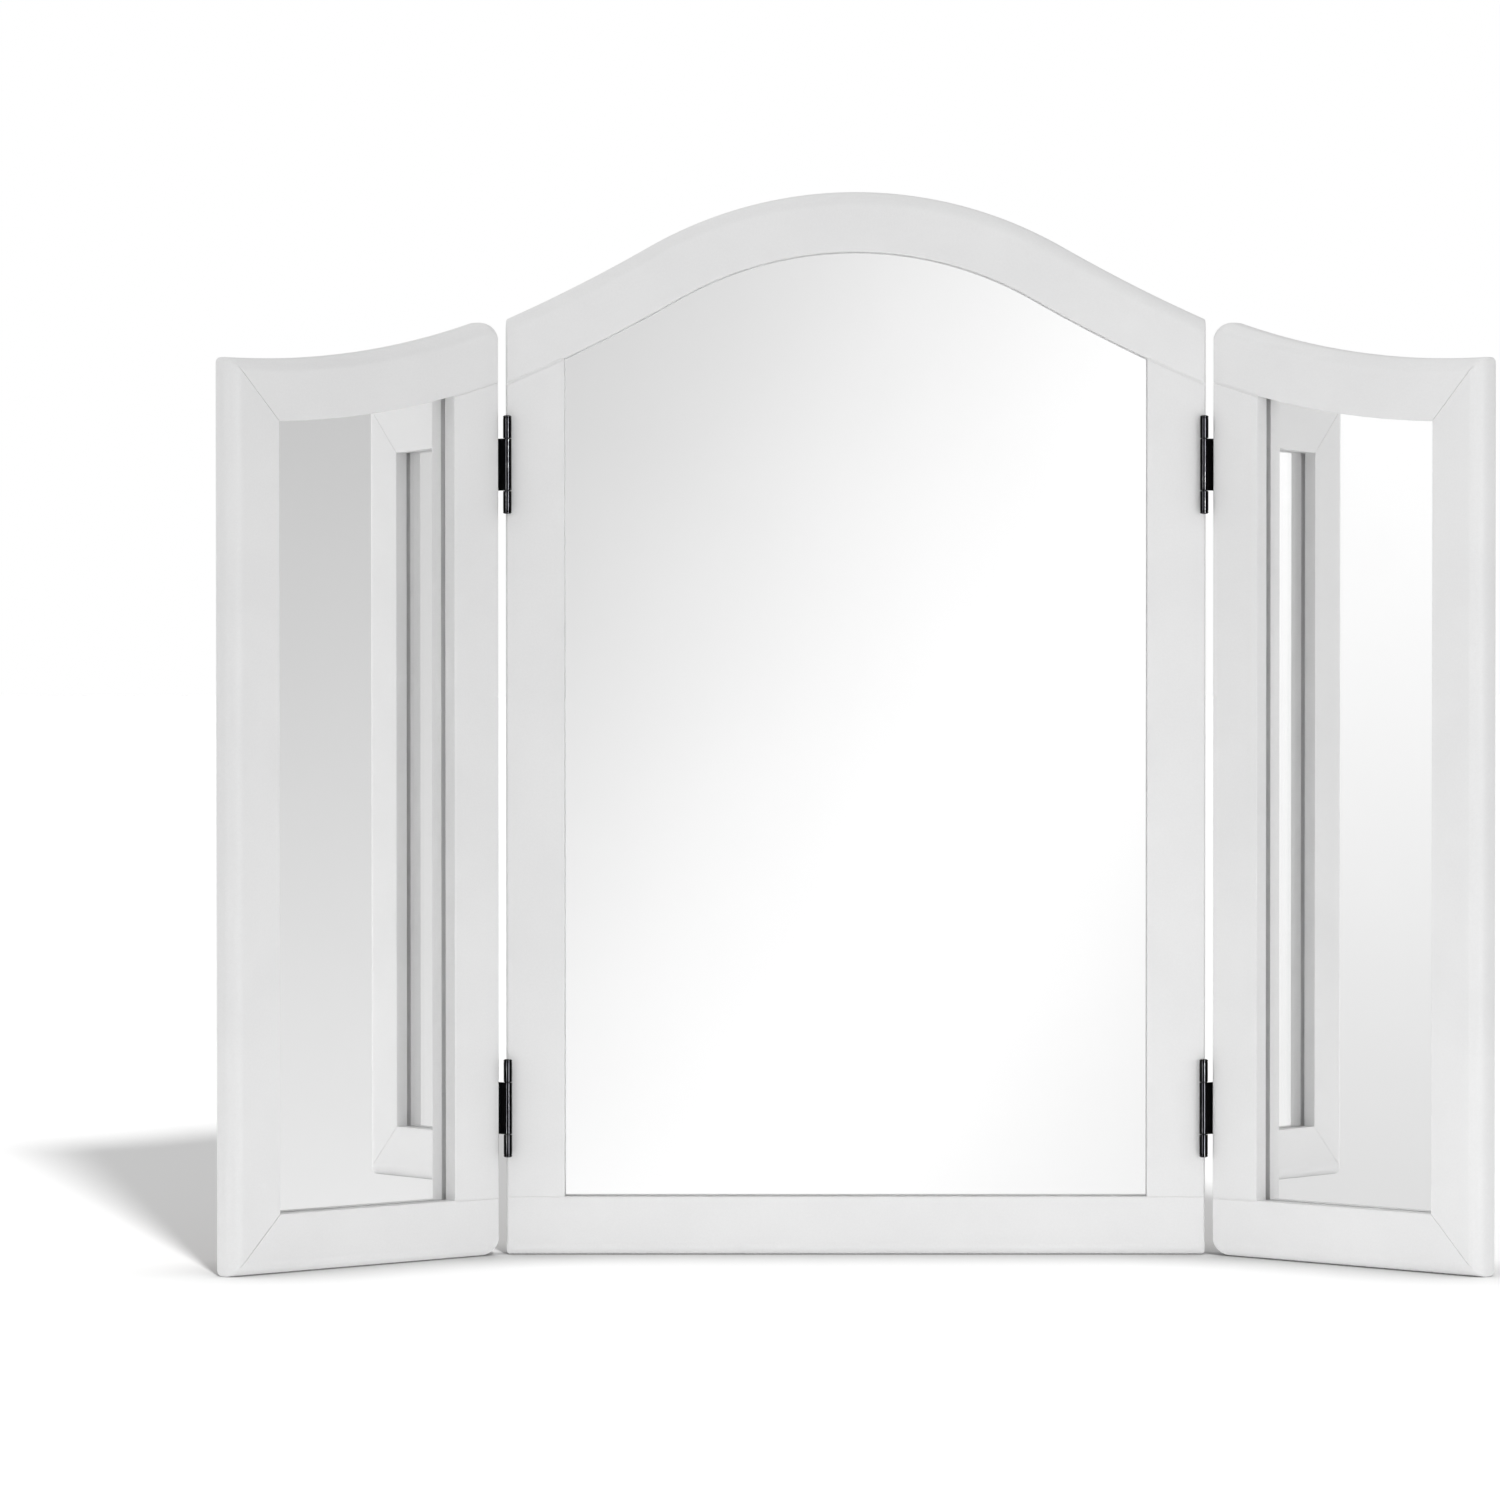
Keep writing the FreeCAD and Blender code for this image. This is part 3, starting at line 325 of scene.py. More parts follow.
def put_together(name, rings, grains, last_finish=0):
    """A closed solid from rings of points laid front to back, in metres, with its grain and finishes."""
    shape = bmesh.new()
    grain_layer = shape.verts.layers.float_vector.new("grain")
    rows = []
    for ring, ring_grain in zip(rings, grains):
        row = []
        for point, grain in zip(ring, ring_grain):
            vertex = shape.verts.new(point)
            vertex[grain_layer] = grain
            row.append(vertex)
        rows.append(row)
    skin(shape, rows)
    shape.faces.new(rows[0])
    shape.faces.new(reversed(rows[-1])).material_index = last_finish
    bmesh.ops.remove_doubles(shape, verts=shape.verts, dist=1.5e-6)
    bmesh.ops.dissolve_degenerate(shape, edges=shape.edges, dist=1e-6)
    bmesh.ops.recalc_face_normals(shape, faces=shape.faces)
    for face in shape.faces:
        face.smooth = True
    for edge in shape.edges:
        edge.smooth = edge.is_manifold and edge.calc_face_angle(0) < SHARP_TURN
    return as_object(shape, name)


def settle(piece, *finishes):
    """Give a piece its finishes, even out the shading of its flats and make it a plain mesh."""
    for finish in finishes:
        piece.data.materials.append(finish)
    evened = piece.modifiers.new("even_flats", "WEIGHTED_NORMAL")
    evened.keep_sharp = True
    make_plain(piece)
    return piece


FOLD = math.radians(-43.5)  # the wings' turn, from flat towards the front
AXIS = (179.0, -12.75)  # the right hinges' axis: across, and back from the middle of the thickness
AXIS_FORWARD = 3.75  # in front of the front faces


def stood(panel, across, back, up):
    """Where a point of a panel stands, in metres: across it, back from its front face and up."""
    if panel == "centre_panel":
        return (across / MILLIMETRES, (back - PANEL_THICKNESS / 2) / MILLIMETRES, up / MILLIMETRES)
    from_axis = back + AXIS_FORWARD
    x = AXIS[0] + across * math.cos(FOLD) - from_axis * math.sin(FOLD)
    y = AXIS[1] + across * math.sin(FOLD) + from_axis * math.cos(FOLD)
    return ((-x if panel == "left_wing" else x) / MILLIMETRES, y / MILLIMETRES, up / MILLIMETRES)


def member(name, panel, runs, lengthwise, softened=None):
    """One painted length of a panel's frame, in place of the plain one. lengthwise gives a point's place
    along and across the wood."""
    rings, grains = [], []
    for place, depth in depths_of(runs):
        outline = outline_at(runs, depth, softened)
        rings.append([stood(panel, across, place, up) for across, up in outline])
        grains.append([Vector((*lengthwise(across, up), place)) / MILLIMETRES for across, up in outline])
    piece = settle(put_together(name, rings, grains), enamel)
    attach(piece, panel)
    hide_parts(name.replace("_painted", ""))
    return piece


def along_rail(across, up):
    return across, up


def along_stile(across, up):
    return up + STILE_BRUSHING, across


enamel = white_enamel()
member(
    "centre_bottom_rail_painted",
    "centre_panel",
    [
        (((-CENTRE_HALF, 0), (CENTRE_HALF, 0)), round_over(BULLNOSE)),
        (((CENTRE_HALF, 0), (CENTRE_HALF, MEMBER)), round_over(ARRIS)),
        (((CENTRE_HALF, MEMBER), (OPENING_HALF, MEMBER)), plain_joint),
        (((OPENING_HALF, MEMBER + STUB), (OPENING_HALF, MEMBER)), sight_edge),
        (((OPENING_HALF, MEMBER), (-OPENING_HALF, MEMBER)), sight_edge),
        (((-OPENING_HALF, MEMBER), (-OPENING_HALF, MEMBER + STUB)), sight_edge),
        (((-OPENING_HALF, MEMBER), (-CENTRE_HALF, MEMBER)), plain_joint),
        (((-CENTRE_HALF, MEMBER), (-CENTRE_HALF, 0)), round_over(ARRIS)),
    ],
    along_rail,
    {0: "whole", 7: "whole"},
)

# ---------------------------------------------------------------- arched top rail of the centre panel
# A band of painted wood bent to the crown: an arc over the middle that turns back to a hollow at each
# shoulder. Its outer edge is bullnosed, its feet stand square on the stiles in a V-grooved joint.

CROWN_RADIUS = 215.0
CROWN_REACH = 106.7
CROWN_CENTRE_UP = 332.5
SHOULDER_RADIUS = 818.0
CROWN_RAIL = 31.0
GRAIN_DROP = 120  # the grain bends about a point so far below the crown's centre
GRAIN_RADIUS = 330
SHOULDER_ACROSS = CROWN_REACH * (CROWN_RADIUS + SHOULDER_RADIUS) / CROWN_RADIUS
SHOULDER_UP = CROWN_CENTRE_UP + (CROWN_RADIUS + SHOULDER_RADIUS) * math.sqrt(
    1 - (CROWN_REACH / CROWN_RADIUS) ** 2
)


def crown_up(across, outward):
    """Height of the crown's line, drawn outward by so much."""
    turning = CROWN_REACH * (CROWN_RADIUS + outward) / CROWN_RADIUS
    if abs(across) < turning:
        return CROWN_CENTRE_UP + math.sqrt((CROWN_RADIUS + outward) ** 2 - across**2)
    hollow = SHOULDER_RADIUS - outward
    return SHOULDER_UP - math.sqrt(hollow**2 - (SHOULDER_ACROSS - abs(across)) ** 2)


def crown_line(half, outward, steps=96):
    """The crown's line from left to right, its points closer together towards the ends."""
    crowding = 0.8
    places = [
        half * math.sin(math.pi / 2 * (2 * k / steps - 1) * crowding) / math.sin(crowding / 2 * math.pi)
        for k in range(steps + 1)
    ]
    return [(across, crown_up(across, outward)) for across in places]


def along_crown(across, up):
    """Along and across the bent band: round the grain's centre and out from it."""
    above = up - CROWN_CENTRE_UP + GRAIN_DROP
    return math.atan2(across, above) * GRAIN_RADIUS, math.hypot(across, above)


square_joint = stepped((0.0, 0.75), (0.5, 0.63), (0.502, 0.0))
joint_out = (CENTRE_HALF, crown_up(CENTRE_HALF, -CROWN_RAIL))
joint_in = (OPENING_HALF, crown_up(OPENING_HALF, -CROWN_RAIL))
crown_end = (CENTRE_HALF, crown_up(CENTRE_HALF, 0))


def to_left(point):
    return (-point[0], point[1])


member(
    "centre_top_rail_painted",
    "centre_panel",
    [
        ((joint_out, crown_end), round_over(ARRIS)),
        (crown_line(CENTRE_HALF, 0)[::-1], round_over(BULLNOSE)),
        ((to_left(crown_end), to_left(joint_out)), round_over(ARRIS)),
        ((to_left(joint_out), to_left(joint_in)), square_joint),
        ((to_left(joint_in), (-OPENING_HALF, joint_in[1] + STUB)), sight_edge),
        (crown_line(OPENING_HALF, -CROWN_RAIL), sight_edge),
        (((OPENING_HALF, joint_in[1] + STUB), joint_in), sight_edge),
        ((joint_in, joint_out), square_joint),
    ],
    along_crown,
    {0: "whole", 1: "whole"},
)

# ---------------------------------------------------------------- stiles of the centre panel
# Two square lengths of painted wood between the rails. Their outer edges carry the hinges and are only
# eased. Each is doweled and glued to both rails.

for side in ("left", "right"):
    stile = [
        (((CENTRE_HALF, MEMBER), joint_out), round_over(ARRIS)),
        ((joint_out, joint_in), square_joint),
        ((joint_in, (OPENING_HALF, MEMBER)), sight_edge),
        (((OPENING_HALF, MEMBER), (CENTRE_HALF, MEMBER)), plain_joint),
    ]
    if side == "left":
        stile = [([to_left(p) for p in reversed(points)], shaped) for points, shaped in reversed(stile)]
    member(f"centre_{side}_stile_painted", "centre_panel", stile, along_stile)

# ---------------------------------------------------------------- rails of the wings
# Painted wood like the centre panel's. The top rail hollows down from the hinge to the free edge. The
# rails run over the hinge stile in a V-grooved joint and meet the outer stile in a mitre.

HINGE_EDGE = 2.2
FREE_EDGE = 176.0
WING_START = 32.2
WING_END = 146.0
WING_RAIL = 31.5
SWEEP_RADIUS = 525.0
SWEEP_ACROSS = 163.0
WING_CORNER = 8.0
WING_RISE = 0.7  # above the crown's ends
SWEEP_UP = crown_end[1] + WING_RISE + math.sqrt(SWEEP_RADIUS**2 - (SWEEP_ACROSS - HINGE_EDGE) ** 2)
FOOT_STEPS = 8


def sweep_up(across, outward):
    """Height of the wing's hollow top line, drawn outward by so much."""
    return SWEEP_UP - math.sqrt((SWEEP_RADIUS - outward) ** 2 - (SWEEP_ACROSS - across) ** 2)


def sweep_line(start, end, outward, steps=28):
    """The hollow line between two places across the wing."""
    places = [start + (end - start) * k / steps for k in range(steps + 1)]
    return [(across, sweep_up(across, outward)) for across in places]


def turned_corner(before, centre, after, steps=12):
    """The points of a corner's arc about its centre."""
    start = math.atan2(before[1] - centre[1], before[0] - centre[0])
    sweep = math.atan2(after[1] - centre[1], after[0] - centre[0]) - start
    sweep = (sweep + math.pi) % (2 * math.pi) - math.pi
    points = []
    for k in range(steps + 1):
        angle = start + sweep * k / steps
        points.append((centre[0] + WING_CORNER * math.cos(angle), centre[1] + WING_CORNER * math.sin(angle)))
    return points


def fading(radii):
    """How far an edge is drawn back whose rounding changes along it, one radius to a point."""
    rounded = [round_over(radius) for radius in radii]

    def drawn_back(depth):
        return [one(depth) for one in rounded]

    drawn_back.depths = round_over(BULLNOSE).depths + round_over(ARRIS).depths
    return drawn_back


# The corner beside the hinge turns from the hinge edge into the hollow line.
corner_across = HINGE_EDGE + WING_CORNER
corner_up = SWEEP_UP - math.sqrt((SWEEP_RADIUS + WING_CORNER) ** 2 - (SWEEP_ACROSS - corner_across) ** 2)
pull = SWEEP_RADIUS / (SWEEP_RADIUS + WING_CORNER)
arc_top = (
    SWEEP_ACROSS + (corner_across - SWEEP_ACROSS) * pull,
    SWEEP_UP + (corner_up - SWEEP_UP) * pull,
)
wing_joint_out = (HINGE_EDGE, sweep_up(HINGE_EDGE, -WING_RAIL))
wing_joint_in = (WING_START, sweep_up(WING_START, -WING_RAIL))
mitre_in = (WING_END, sweep_up(WING_END, -WING_RAIL))
mitre_out = (FREE_EDGE, sweep_up(FREE_EDGE, 0))

mitre_joint = stepped((0.0, 0.2), (0.12, 0.09), (0.8, 0.09), (0.802, 0.0))
top_arc = turned_corner(arc_top, (corner_across, corner_up), (HINGE_EDGE, corner_up))
top_sweep = sweep_line(FREE_EDGE, arc_top[0], 0)[:-1]
top_fade = [BULLNOSE + (ARRIS - BULLNOSE) * k / (len(top_arc) - 1) for k in range(len(top_arc))]
foot_arc = turned_corner((HINGE_EDGE, WING_CORNER), (corner_across, WING_CORNER), (corner_across, 0))
foot_fade = [ARRIS + (BULLNOSE - ARRIS) * k / (len(foot_arc) - 1) for k in range(len(foot_arc))]
foot_steps = range(1, FOOT_STEPS + 1)
foot_run = [(corner_across + (FREE_EDGE - corner_across) * k / FOOT_STEPS, 0) for k in foot_steps]

wing_rails = {
    "top_rail": [
        (top_sweep + top_arc + [wing_joint_out], fading([BULLNOSE] * len(top_sweep) + top_fade + [ARRIS])),
        ((wing_joint_out, wing_joint_in), square_joint),
        ((wing_joint_in, (WING_START, wing_joint_in[1] + STUB)), sight_edge),
        (sweep_line(WING_START, WING_END, -WING_RAIL), sight_edge),
        ((mitre_in, mitre_out), mitre_joint),
    ],
    "bottom_rail": [
        ([(HINGE_EDGE, MEMBER)] + foot_arc + foot_run, fading([ARRIS] + foot_fade + [BULLNOSE] * FOOT_STEPS)),
        (((FREE_EDGE, 0), (WING_END, MEMBER)), mitre_joint),
        (((WING_END, MEMBER), (WING_START, MEMBER)), sight_edge),
        (((WING_START, MEMBER), (WING_START, MEMBER + STUB)), sight_edge),
        (((WING_START, MEMBER), (HINGE_EDGE, MEMBER)), square_joint),
    ],
}
rail_corners = {"top_rail": {4: "after"}, "bottom_rail": {0: "before"}}
for wing in ("left_wing", "right_wing"):
    for rail, runs in wing_rails.items():
        member(f"{wing}_{rail}_painted", wing, runs, along_rail, rail_corners[rail])

# ---------------------------------------------------------------- stiles of the wings
# The outer stile is mitred at both ends and bullnosed along the free edge. The hinge stile is a square
# length between the rails, eased where the hinges are screwed to it.

wing_stiles = {
    "outer_stile": [
        (((FREE_EDGE, 0), mitre_out), round_over(BULLNOSE)),
        ((mitre_out, mitre_in), mitre_joint),
        ((mitre_in, (WING_END, MEMBER)), sight_edge),
        (((WING_END, MEMBER), (FREE_EDGE, 0)), mitre_joint),
    ],
    "hinge_stile": [
        (((WING_START, MEMBER), wing_joint_in), sight_edge),
        ((wing_joint_in, wing_joint_out), square_joint),
        ((wing_joint_out, (HINGE_EDGE, MEMBER)), round_over(ARRIS)),
        (((HINGE_EDGE, MEMBER), (WING_START, MEMBER)), square_joint),
    ],
}
stile_corners = {"outer_stile": {0: "before", 3: "after"}, "hinge_stile": None}
for wing in ("left_wing", "right_wing"):
    for stile, runs in wing_stiles.items():
        member(f"{wing}_{stile}_painted", wing, runs, along_stile, stile_corners[stile])

# ---------------------------------------------------------------- mirrors
# Three panes of 3 mm float glass, cut a little larger than the openings, silvered on the back and ground
# at the edge. Each lies loose in the rebate behind the lip, held by its packing and the back panel.

PANE_FRONT = LIP + 0.02  # a hair's play to the lip and the packing
PANE_BACK = LIP + 2.98
GLASS_OVERLAP = 6.0
GROUND_EDGE = 0.3


def clear_glass():
    """Clear float glass with the faint waviness that polishing leaves. Light that has already scattered
    off the wood passes its front face straight, so that the silver throws all of it back."""
    material, tint, shader = new_finish(
        "clear_glass", Transmission_Weight=1.0, IOR=1.52, Base_Color=(1, 1, 1, 1), Roughness=0.0
    )
    where = tint.node("ShaderNodeTexCoord", output="Object")
    scattered = tint.node("ShaderNodeLightPath", output="Diffuse Depth")
    waves = tint.bump(tint.noise(where, 30.0, 1.0), 0.0000004, 0.4)
    dress(tint, shader, Normal=waves, Alpha=1 - scattered.between(0.0, 1.0))
    return material


def silvering():
    """The silver coat on the pane's back, seen through the glass."""
    material, tint, shader = new_finish("mirror_silver", Metallic=1.0)
    where = tint.node("ShaderNodeTexCoord", output="Object")
    cloud = tint.noise(where, 9.0, 3.0).between(0.35, 0.65)
    colour = tint.blend(cloud, (0.945, 0.945, 0.945, 1), (0.955, 0.955, 0.955, 1))
    dress(tint, shader, Base_Color=colour, Roughness=0.004 * cloud)
    return material


pane_glass, pane_silver = clear_glass(), silvering()


def ground(depth):
    return max(0.0, GROUND_EDGE - min(depth - PANE_FRONT, PANE_BACK - depth))


def pane(name, panel, lines, node):
    """A pane cut to the lines round it, clear in front and silvered behind."""
    rings, grains = [], []
    runs = [(points, ground) for points in lines]
    for depth in (PANE_FRONT, PANE_FRONT + GROUND_EDGE, PANE_BACK - GROUND_EDGE, PANE_BACK):
        outline = outline_at(runs, depth)
        rings.append([stood(panel, across, depth, up) for across, up in outline])
        grains.append([Vector((across, up, depth)) / MILLIMETRES for across, up in outline])
    piece = settle(put_together(name, rings, grains, last_finish=1), pane_glass, pane_silver)
    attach(piece, panel)
    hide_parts(node)


edge_half = OPENING_HALF + GLASS_OVERLAP
edge_foot = MEMBER - GLASS_OVERLAP
edge_crown = crown_line(edge_half, GLASS_OVERLAP - CROWN_RAIL)
pane(
    "centre_mirror_pane",
    "centre_panel",
    [
        ((-edge_half, edge_foot), (edge_half, edge_foot)),
        ((edge_half, edge_foot), edge_crown[-1]),
        edge_crown[::-1],
        (edge_crown[0], (-edge_half, edge_foot)),
    ],
    "centre_mirror",
)
edge_sweep = sweep_line(WING_START - GLASS_OVERLAP, WING_END + GLASS_OVERLAP, GLASS_OVERLAP - WING_RAIL)
for wing in ("left_wing", "right_wing"):
    pane(
        f"{wing}_mirror_pane",
        wing,
        [
            ((edge_sweep[0][0], edge_foot), (edge_sweep[-1][0], edge_foot)),
            ((edge_sweep[-1][0], edge_foot), edge_sweep[-1]),
            edge_sweep[::-1],
            (edge_sweep[0], (edge_sweep[0][0], edge_foot)),
        ],
        f"{wing}_mirror",
    )

# ---------------------------------------------------------------- packing cards
# Grey-brown card between each pane and its back panel, cut with a knife and laid in loose. It keeps the
# silvering off the board and takes up the slack.


def grey_card():
    """Pressed grey-brown card flecked with fibres."""
    material, tint, shader = new_finish("grey_card")
    where = tint.node("ShaderNodeTexCoord", output="Object")
    fleck = tint.noise(tint.stretched(where, (1.0, 1.0, 0.35)), 900.0, 4.0)
    colour = tint.blend(fleck.between(0.4, 0.62), (0.30, 0.26, 0.21, 1), (0.42, 0.37, 0.30, 1))
    dress(tint, shader, Base_Color=colour, Roughness=0.84 + 0.1 * fleck, Normal=tint.bump(fleck, 0.00005))
    return material


# The panels by the names their pieces start with, and the bodies they ride on.
PANEL_BODIES = {"centre": "centre_panel", "left_wing": "left_wing", "right_wing": "right_wing"}

card = grey_card()
for panel in PANEL_BODIES:
    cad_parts[f"{panel}_packing"].data.materials[0] = card

# ---------------------------------------------------------------- back panels
# Thin brown hardboard, smooth side out, sawn to the rebate and drilled for its screws. Each closes its
# panel from behind and presses the packing against the pane.


def brown_hardboard():
    """Pressed wood fibre: warm brown, a little glossy where the press smoothed it, with darker fibres."""
    material, tint, shader = new_finish("brown_hardboard", IOR=1.45)
    where = tint.node("ShaderNodeTexCoord", output="Object")
    fibre = tint.noise(tint.stretched(where, (520.0, 520.0, 260.0)), 1.0, 5.0)
    cloud = tint.noise(where, 11.0, 4.0)
    fleck = tint.noise(where, 1700.0, 3.0).between(0.58, 0.72)
    tone = fibre.between(0.36, 0.66) * 0.7 + cloud * 0.3
    colour = tint.blend(tone, (0.155, 0.080, 0.040, 1), (0.275, 0.160, 0.085, 1))
    colour = tint.blend(fleck * 0.5, colour, (0.085, 0.042, 0.022, 1))
    height = fibre * 0.6 + fleck * 0.4
    dress(tint, shader, Base_Color=colour, Roughness=0.42 + 0.22 * fibre, Normal=tint.bump(height, 0.00004))
    return material


hardboard = brown_hardboard()
for panel in PANEL_BODIES:
    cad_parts[f"{panel}_back_board"].data.materials[0] = hardboard

# ---------------------------------------------------------------- dowels
# Turned beech pegs with eased ends, two to a joint, glued blind across every joint of the three frames.
# Nothing shows of them once the frames are together.


def beech():
    """Pale turned beech with short darker flecks along the grain."""
    material, tint, shader = new_finish("beech", IOR=1.45)
    where = tint.node("ShaderNodeTexCoord", output="Object")
    grain = tint.noise(tint.stretched(where, (900.0, 900.0, 90.0)), 1.0, 4.0)
    colour = tint.blend(grain.between(0.4, 0.66), (0.62, 0.42, 0.26, 1), (0.44, 0.27, 0.15, 1))
    dress(tint, shader, Base_Color=colour, Roughness=0.55 + 0.2 * grain, Normal=tint.bump(grain, 0.00005))
    return material


peg = beech()
for panel in PANEL_BODIES:
    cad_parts[f"{panel}_dowels"].data.materials[0] = peg

# ---------------------------------------------------------------- back panel screws
# Small zinc-plated round-headed wood screws, slotted, driven from behind through the back panels into
# the frames: twelve round the centre panel and ten round each wing.

BOARD_SCREW = {  # in metres, like every screw
    "Head Radius": 0.003,
    "Head Height": 0.00148,
    "Slot Width": 0.0006,
    "Shank Radius": 0.0013,
    "Length": 0.009,
}
HEAD_SIDES, HEAD_RINGS, SHANK_SIDES = 24, 14, 16
SLOT_LONG = 2.4  # in head radii: right across the head
SLOT_DEEP = 2.0  # in slot widths: half of it stands above the head
STEEL_TURN = math.radians(35)  # an edge of steel that turns further is shaded sharp


def zinc_plate():
    """Dull bright zinc, slightly blue, with the spangle and drag marks of small fixings."""
    material, tint, shader = new_finish("zinc_plate", Metallic=1.0)
    where = tint.node("ShaderNodeTexCoord", output="Object")
    cloud = tint.noise(where, 700.0, 3.0)
    colour = tint.blend(cloud.between(0.35, 0.65), (0.50, 0.51, 0.53, 1), (0.66, 0.67, 0.69, 1))
    dress(tint, shader, Base_Color=colour, Roughness=0.26 + 0.2 * cloud, Normal=tint.bump(cloud, 0.00003))
    return material


def screw_tree(name, sizes, round_head):
    """Geometry nodes that put a slotted wood screw at every place, each stopped at its own turn. Returns
    the tree and the identifiers of its seed and metal."""
    tree = bpy.data.node_groups.new(name, "GeometryNodeTree")
    face = tree.interface
    face.new_socket("Places", in_out="INPUT", socket_type="NodeSocketGeometry")
    for label, size in sizes.items():
        face.new_socket(label, in_out="INPUT", socket_type="NodeSocketFloat").default_value = size
    seed = face.new_socket("Seed", in_out="INPUT", socket_type="NodeSocketInt").identifier
    metal = face.new_socket("Metal", in_out="INPUT", socket_type="NodeSocketMaterial").identifier
    face.new_socket("Screws", in_out="OUTPUT", socket_type="NodeSocketGeometry")
    given = tree.nodes.new("NodeGroupInput").outputs

    def grow(kind, inputs, **settings):
        """Add a node, its settings first, then its sockets' values or links. Gives its first output."""
        made = tree.nodes.new(kind)
        for label, value in settings.items():
            setattr(made, label, value)
        for key, value in inputs.items():
            if isinstance(value, bpy.types.NodeSocket):
                tree.links.new(value, made.inputs[key])
            else:
                made.inputs[key].default_value = value
        return made.outputs[0]

    def times(first, second):
        return grow("ShaderNodeMath", {0: first, 1: second}, operation="MULTIPLY")

    def at_height(shape, height):
        lift = grow("ShaderNodeCombineXYZ", {"Z": height})
        return grow("GeometryNodeTransform", {"Geometry": shape, "Translation": lift})

    radius, height, slot_width = given["Head Radius"], given["Head Height"], given["Slot Width"]
    shank_radius, length = given["Shank Radius"], given["Length"]
    if round_head:
        ball = grow("GeometryNodeMeshUVSphere", {"Segments": HEAD_SIDES, "Rings": HEAD_RINGS, "Radius": 1.0})
        spread = grow("ShaderNodeCombineXYZ", {"X": radius, "Y": radius, "Z": height})
        head, top = grow("GeometryNodeTransform", {"Geometry": ball, "Scale": spread}), height
    else:
        cone = {"Vertices": HEAD_SIDES, "Radius Top": radius, "Radius Bottom": shank_radius, "Depth": height}
        head, top = at_height(grow("GeometryNodeMeshCone", cone), times(height, -1.0)), 0.0
    bar = {"X": times(radius, SLOT_LONG), "Y": slot_width, "Z": times(slot_width, SLOT_DEEP)}
    slot = at_height(grow("GeometryNodeMeshCube", {"Size": grow("ShaderNodeCombineXYZ", bar)}), top)
    slotted = grow("GeometryNodeMeshBoolean", {0: head, 1: slot}, operation="DIFFERENCE")
    rod = {"Vertices": SHANK_SIDES, "Radius": shank_radius, "Depth": length}
    shank = at_height(grow("GeometryNodeMeshCylinder", rod), times(length, -0.5))
    screw = grow("GeometryNodeJoinGeometry", {0: slotted})
    tree.links.new(shank, screw.node.inputs[0])
    driven = grow("GeometryNodeInputNamedAttribute", {"Name": "driven"}, data_type="FLOAT_VECTOR")
    facing = grow("FunctionNodeAlignRotationToVector", {"Vector": driven}, axis="Z")
    chance = grow("FunctionNodeRandomValue", {"Max": math.pi, "Seed": given["Seed"]}, data_type="FLOAT")
    angle = next(socket for socket in chance.node.outputs if socket.enabled)
    spin = grow("FunctionNodeAxisAngleToRotation", {"Axis": (0, 0, 1), "Angle": angle})
    turn = {"Rotation": facing, "Rotate By": spin}
    turned = grow("FunctionNodeRotateRotation", turn, rotation_space="LOCAL")
    stand = {"Points": given["Places"], "Instance": screw, "Rotation": turned}
    real = grow("GeometryNodeRealizeInstances", {"Geometry": grow("GeometryNodeInstanceOnPoints", stand)})
    dressed = grow("GeometryNodeSetMaterial", {"Geometry": real, "Material": given["Metal"]})
    tree.links.new(dressed, tree.nodes.new("NodeGroupOutput").inputs[0])
    return tree, seed, metal


def screws(kind, places_on, grown_by, finish, first_seed):
    """Every panel's screws of one kind, from the (across, back, up) places of their heads and the
    directions they were driven from."""
    tree, seed_socket, metal_socket = grown_by
    for seed, (panel, body) in enumerate(PANEL_BODIES.items(), first_seed):
        name = f"{panel}_{kind}_slotted"
        places = places_on[panel]
        mesh = bpy.data.meshes.new(name)
        mesh.from_pydata([stood(body, *head) for head, _ in places], [], [])
        ways = mesh.attributes.new("driven", "FLOAT_VECTOR", "POINT")
        for number, (head, out) in enumerate(places):
            outer = stood(body, *(h + o for h, o in zip(head, out)))
            ways.data[number].vector = (Vector(outer) - Vector(stood(body, *head))).normalized()
        piece = in_scene(name, mesh)
        grown = piece.modifiers.new("screws", "NODES")
        grown.node_group = tree
        grown[seed_socket] = seed
        grown[metal_socket] = finish
        make_plain(piece)
        piece.data.shade_smooth()
        piece.data.set_sharp_from_angle(angle=STEEL_TURN)
        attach(piece, body)
        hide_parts(f"{panel}_{kind}")


BOARD_FACE = 17.5
SCREW_INSET = 11.0  # from the opening's edge
CROWN_SPREAD = 0.75  # of the crown's turn to each side
FOOT_SPREAD = 0.6  # of the opening's half width
SIDE_SPREAD = 0.38  # of the opening's height, up and down from its middle
WING_SPREAD = (0.2, 0.8)  # of the wing's opening

crown_turn = CROWN_SPREAD * math.asin(CROWN_REACH / CROWN_RADIUS)
crown_out = CROWN_RADIUS - CROWN_RAIL + SCREW_INSET
centre_heads = []
for share in (-1, 0, 1):
    angle = share * crown_turn
    up = (MEMBER + joint_in[1]) / 2 + share * SIDE_SPREAD * (joint_in[1] - MEMBER)
    centre_heads.append((share * FOOT_SPREAD * OPENING_HALF, MEMBER - SCREW_INSET))
    centre_heads.append((crown_out * math.sin(angle), CROWN_CENTRE_UP + crown_out * math.cos(angle)))
    centre_heads += [(OPENING_HALF + SCREW_INSET, up), (-OPENING_HALF - SCREW_INSET, up)]
wing_heads = []
for share in (-1, 0, 1):
    up = (MEMBER + wing_joint_in[1]) / 2 + share * SIDE_SPREAD * (mitre_in[1] - MEMBER)
    wing_heads += [(WING_START - SCREW_INSET, up), (WING_END + SCREW_INSET, up)]
for share in WING_SPREAD:
    across = WING_START + share * (WING_END - WING_START)
    wing_heads += [(across, MEMBER - SCREW_INSET), (across, sweep_up(across, SCREW_INSET - WING_RAIL))]

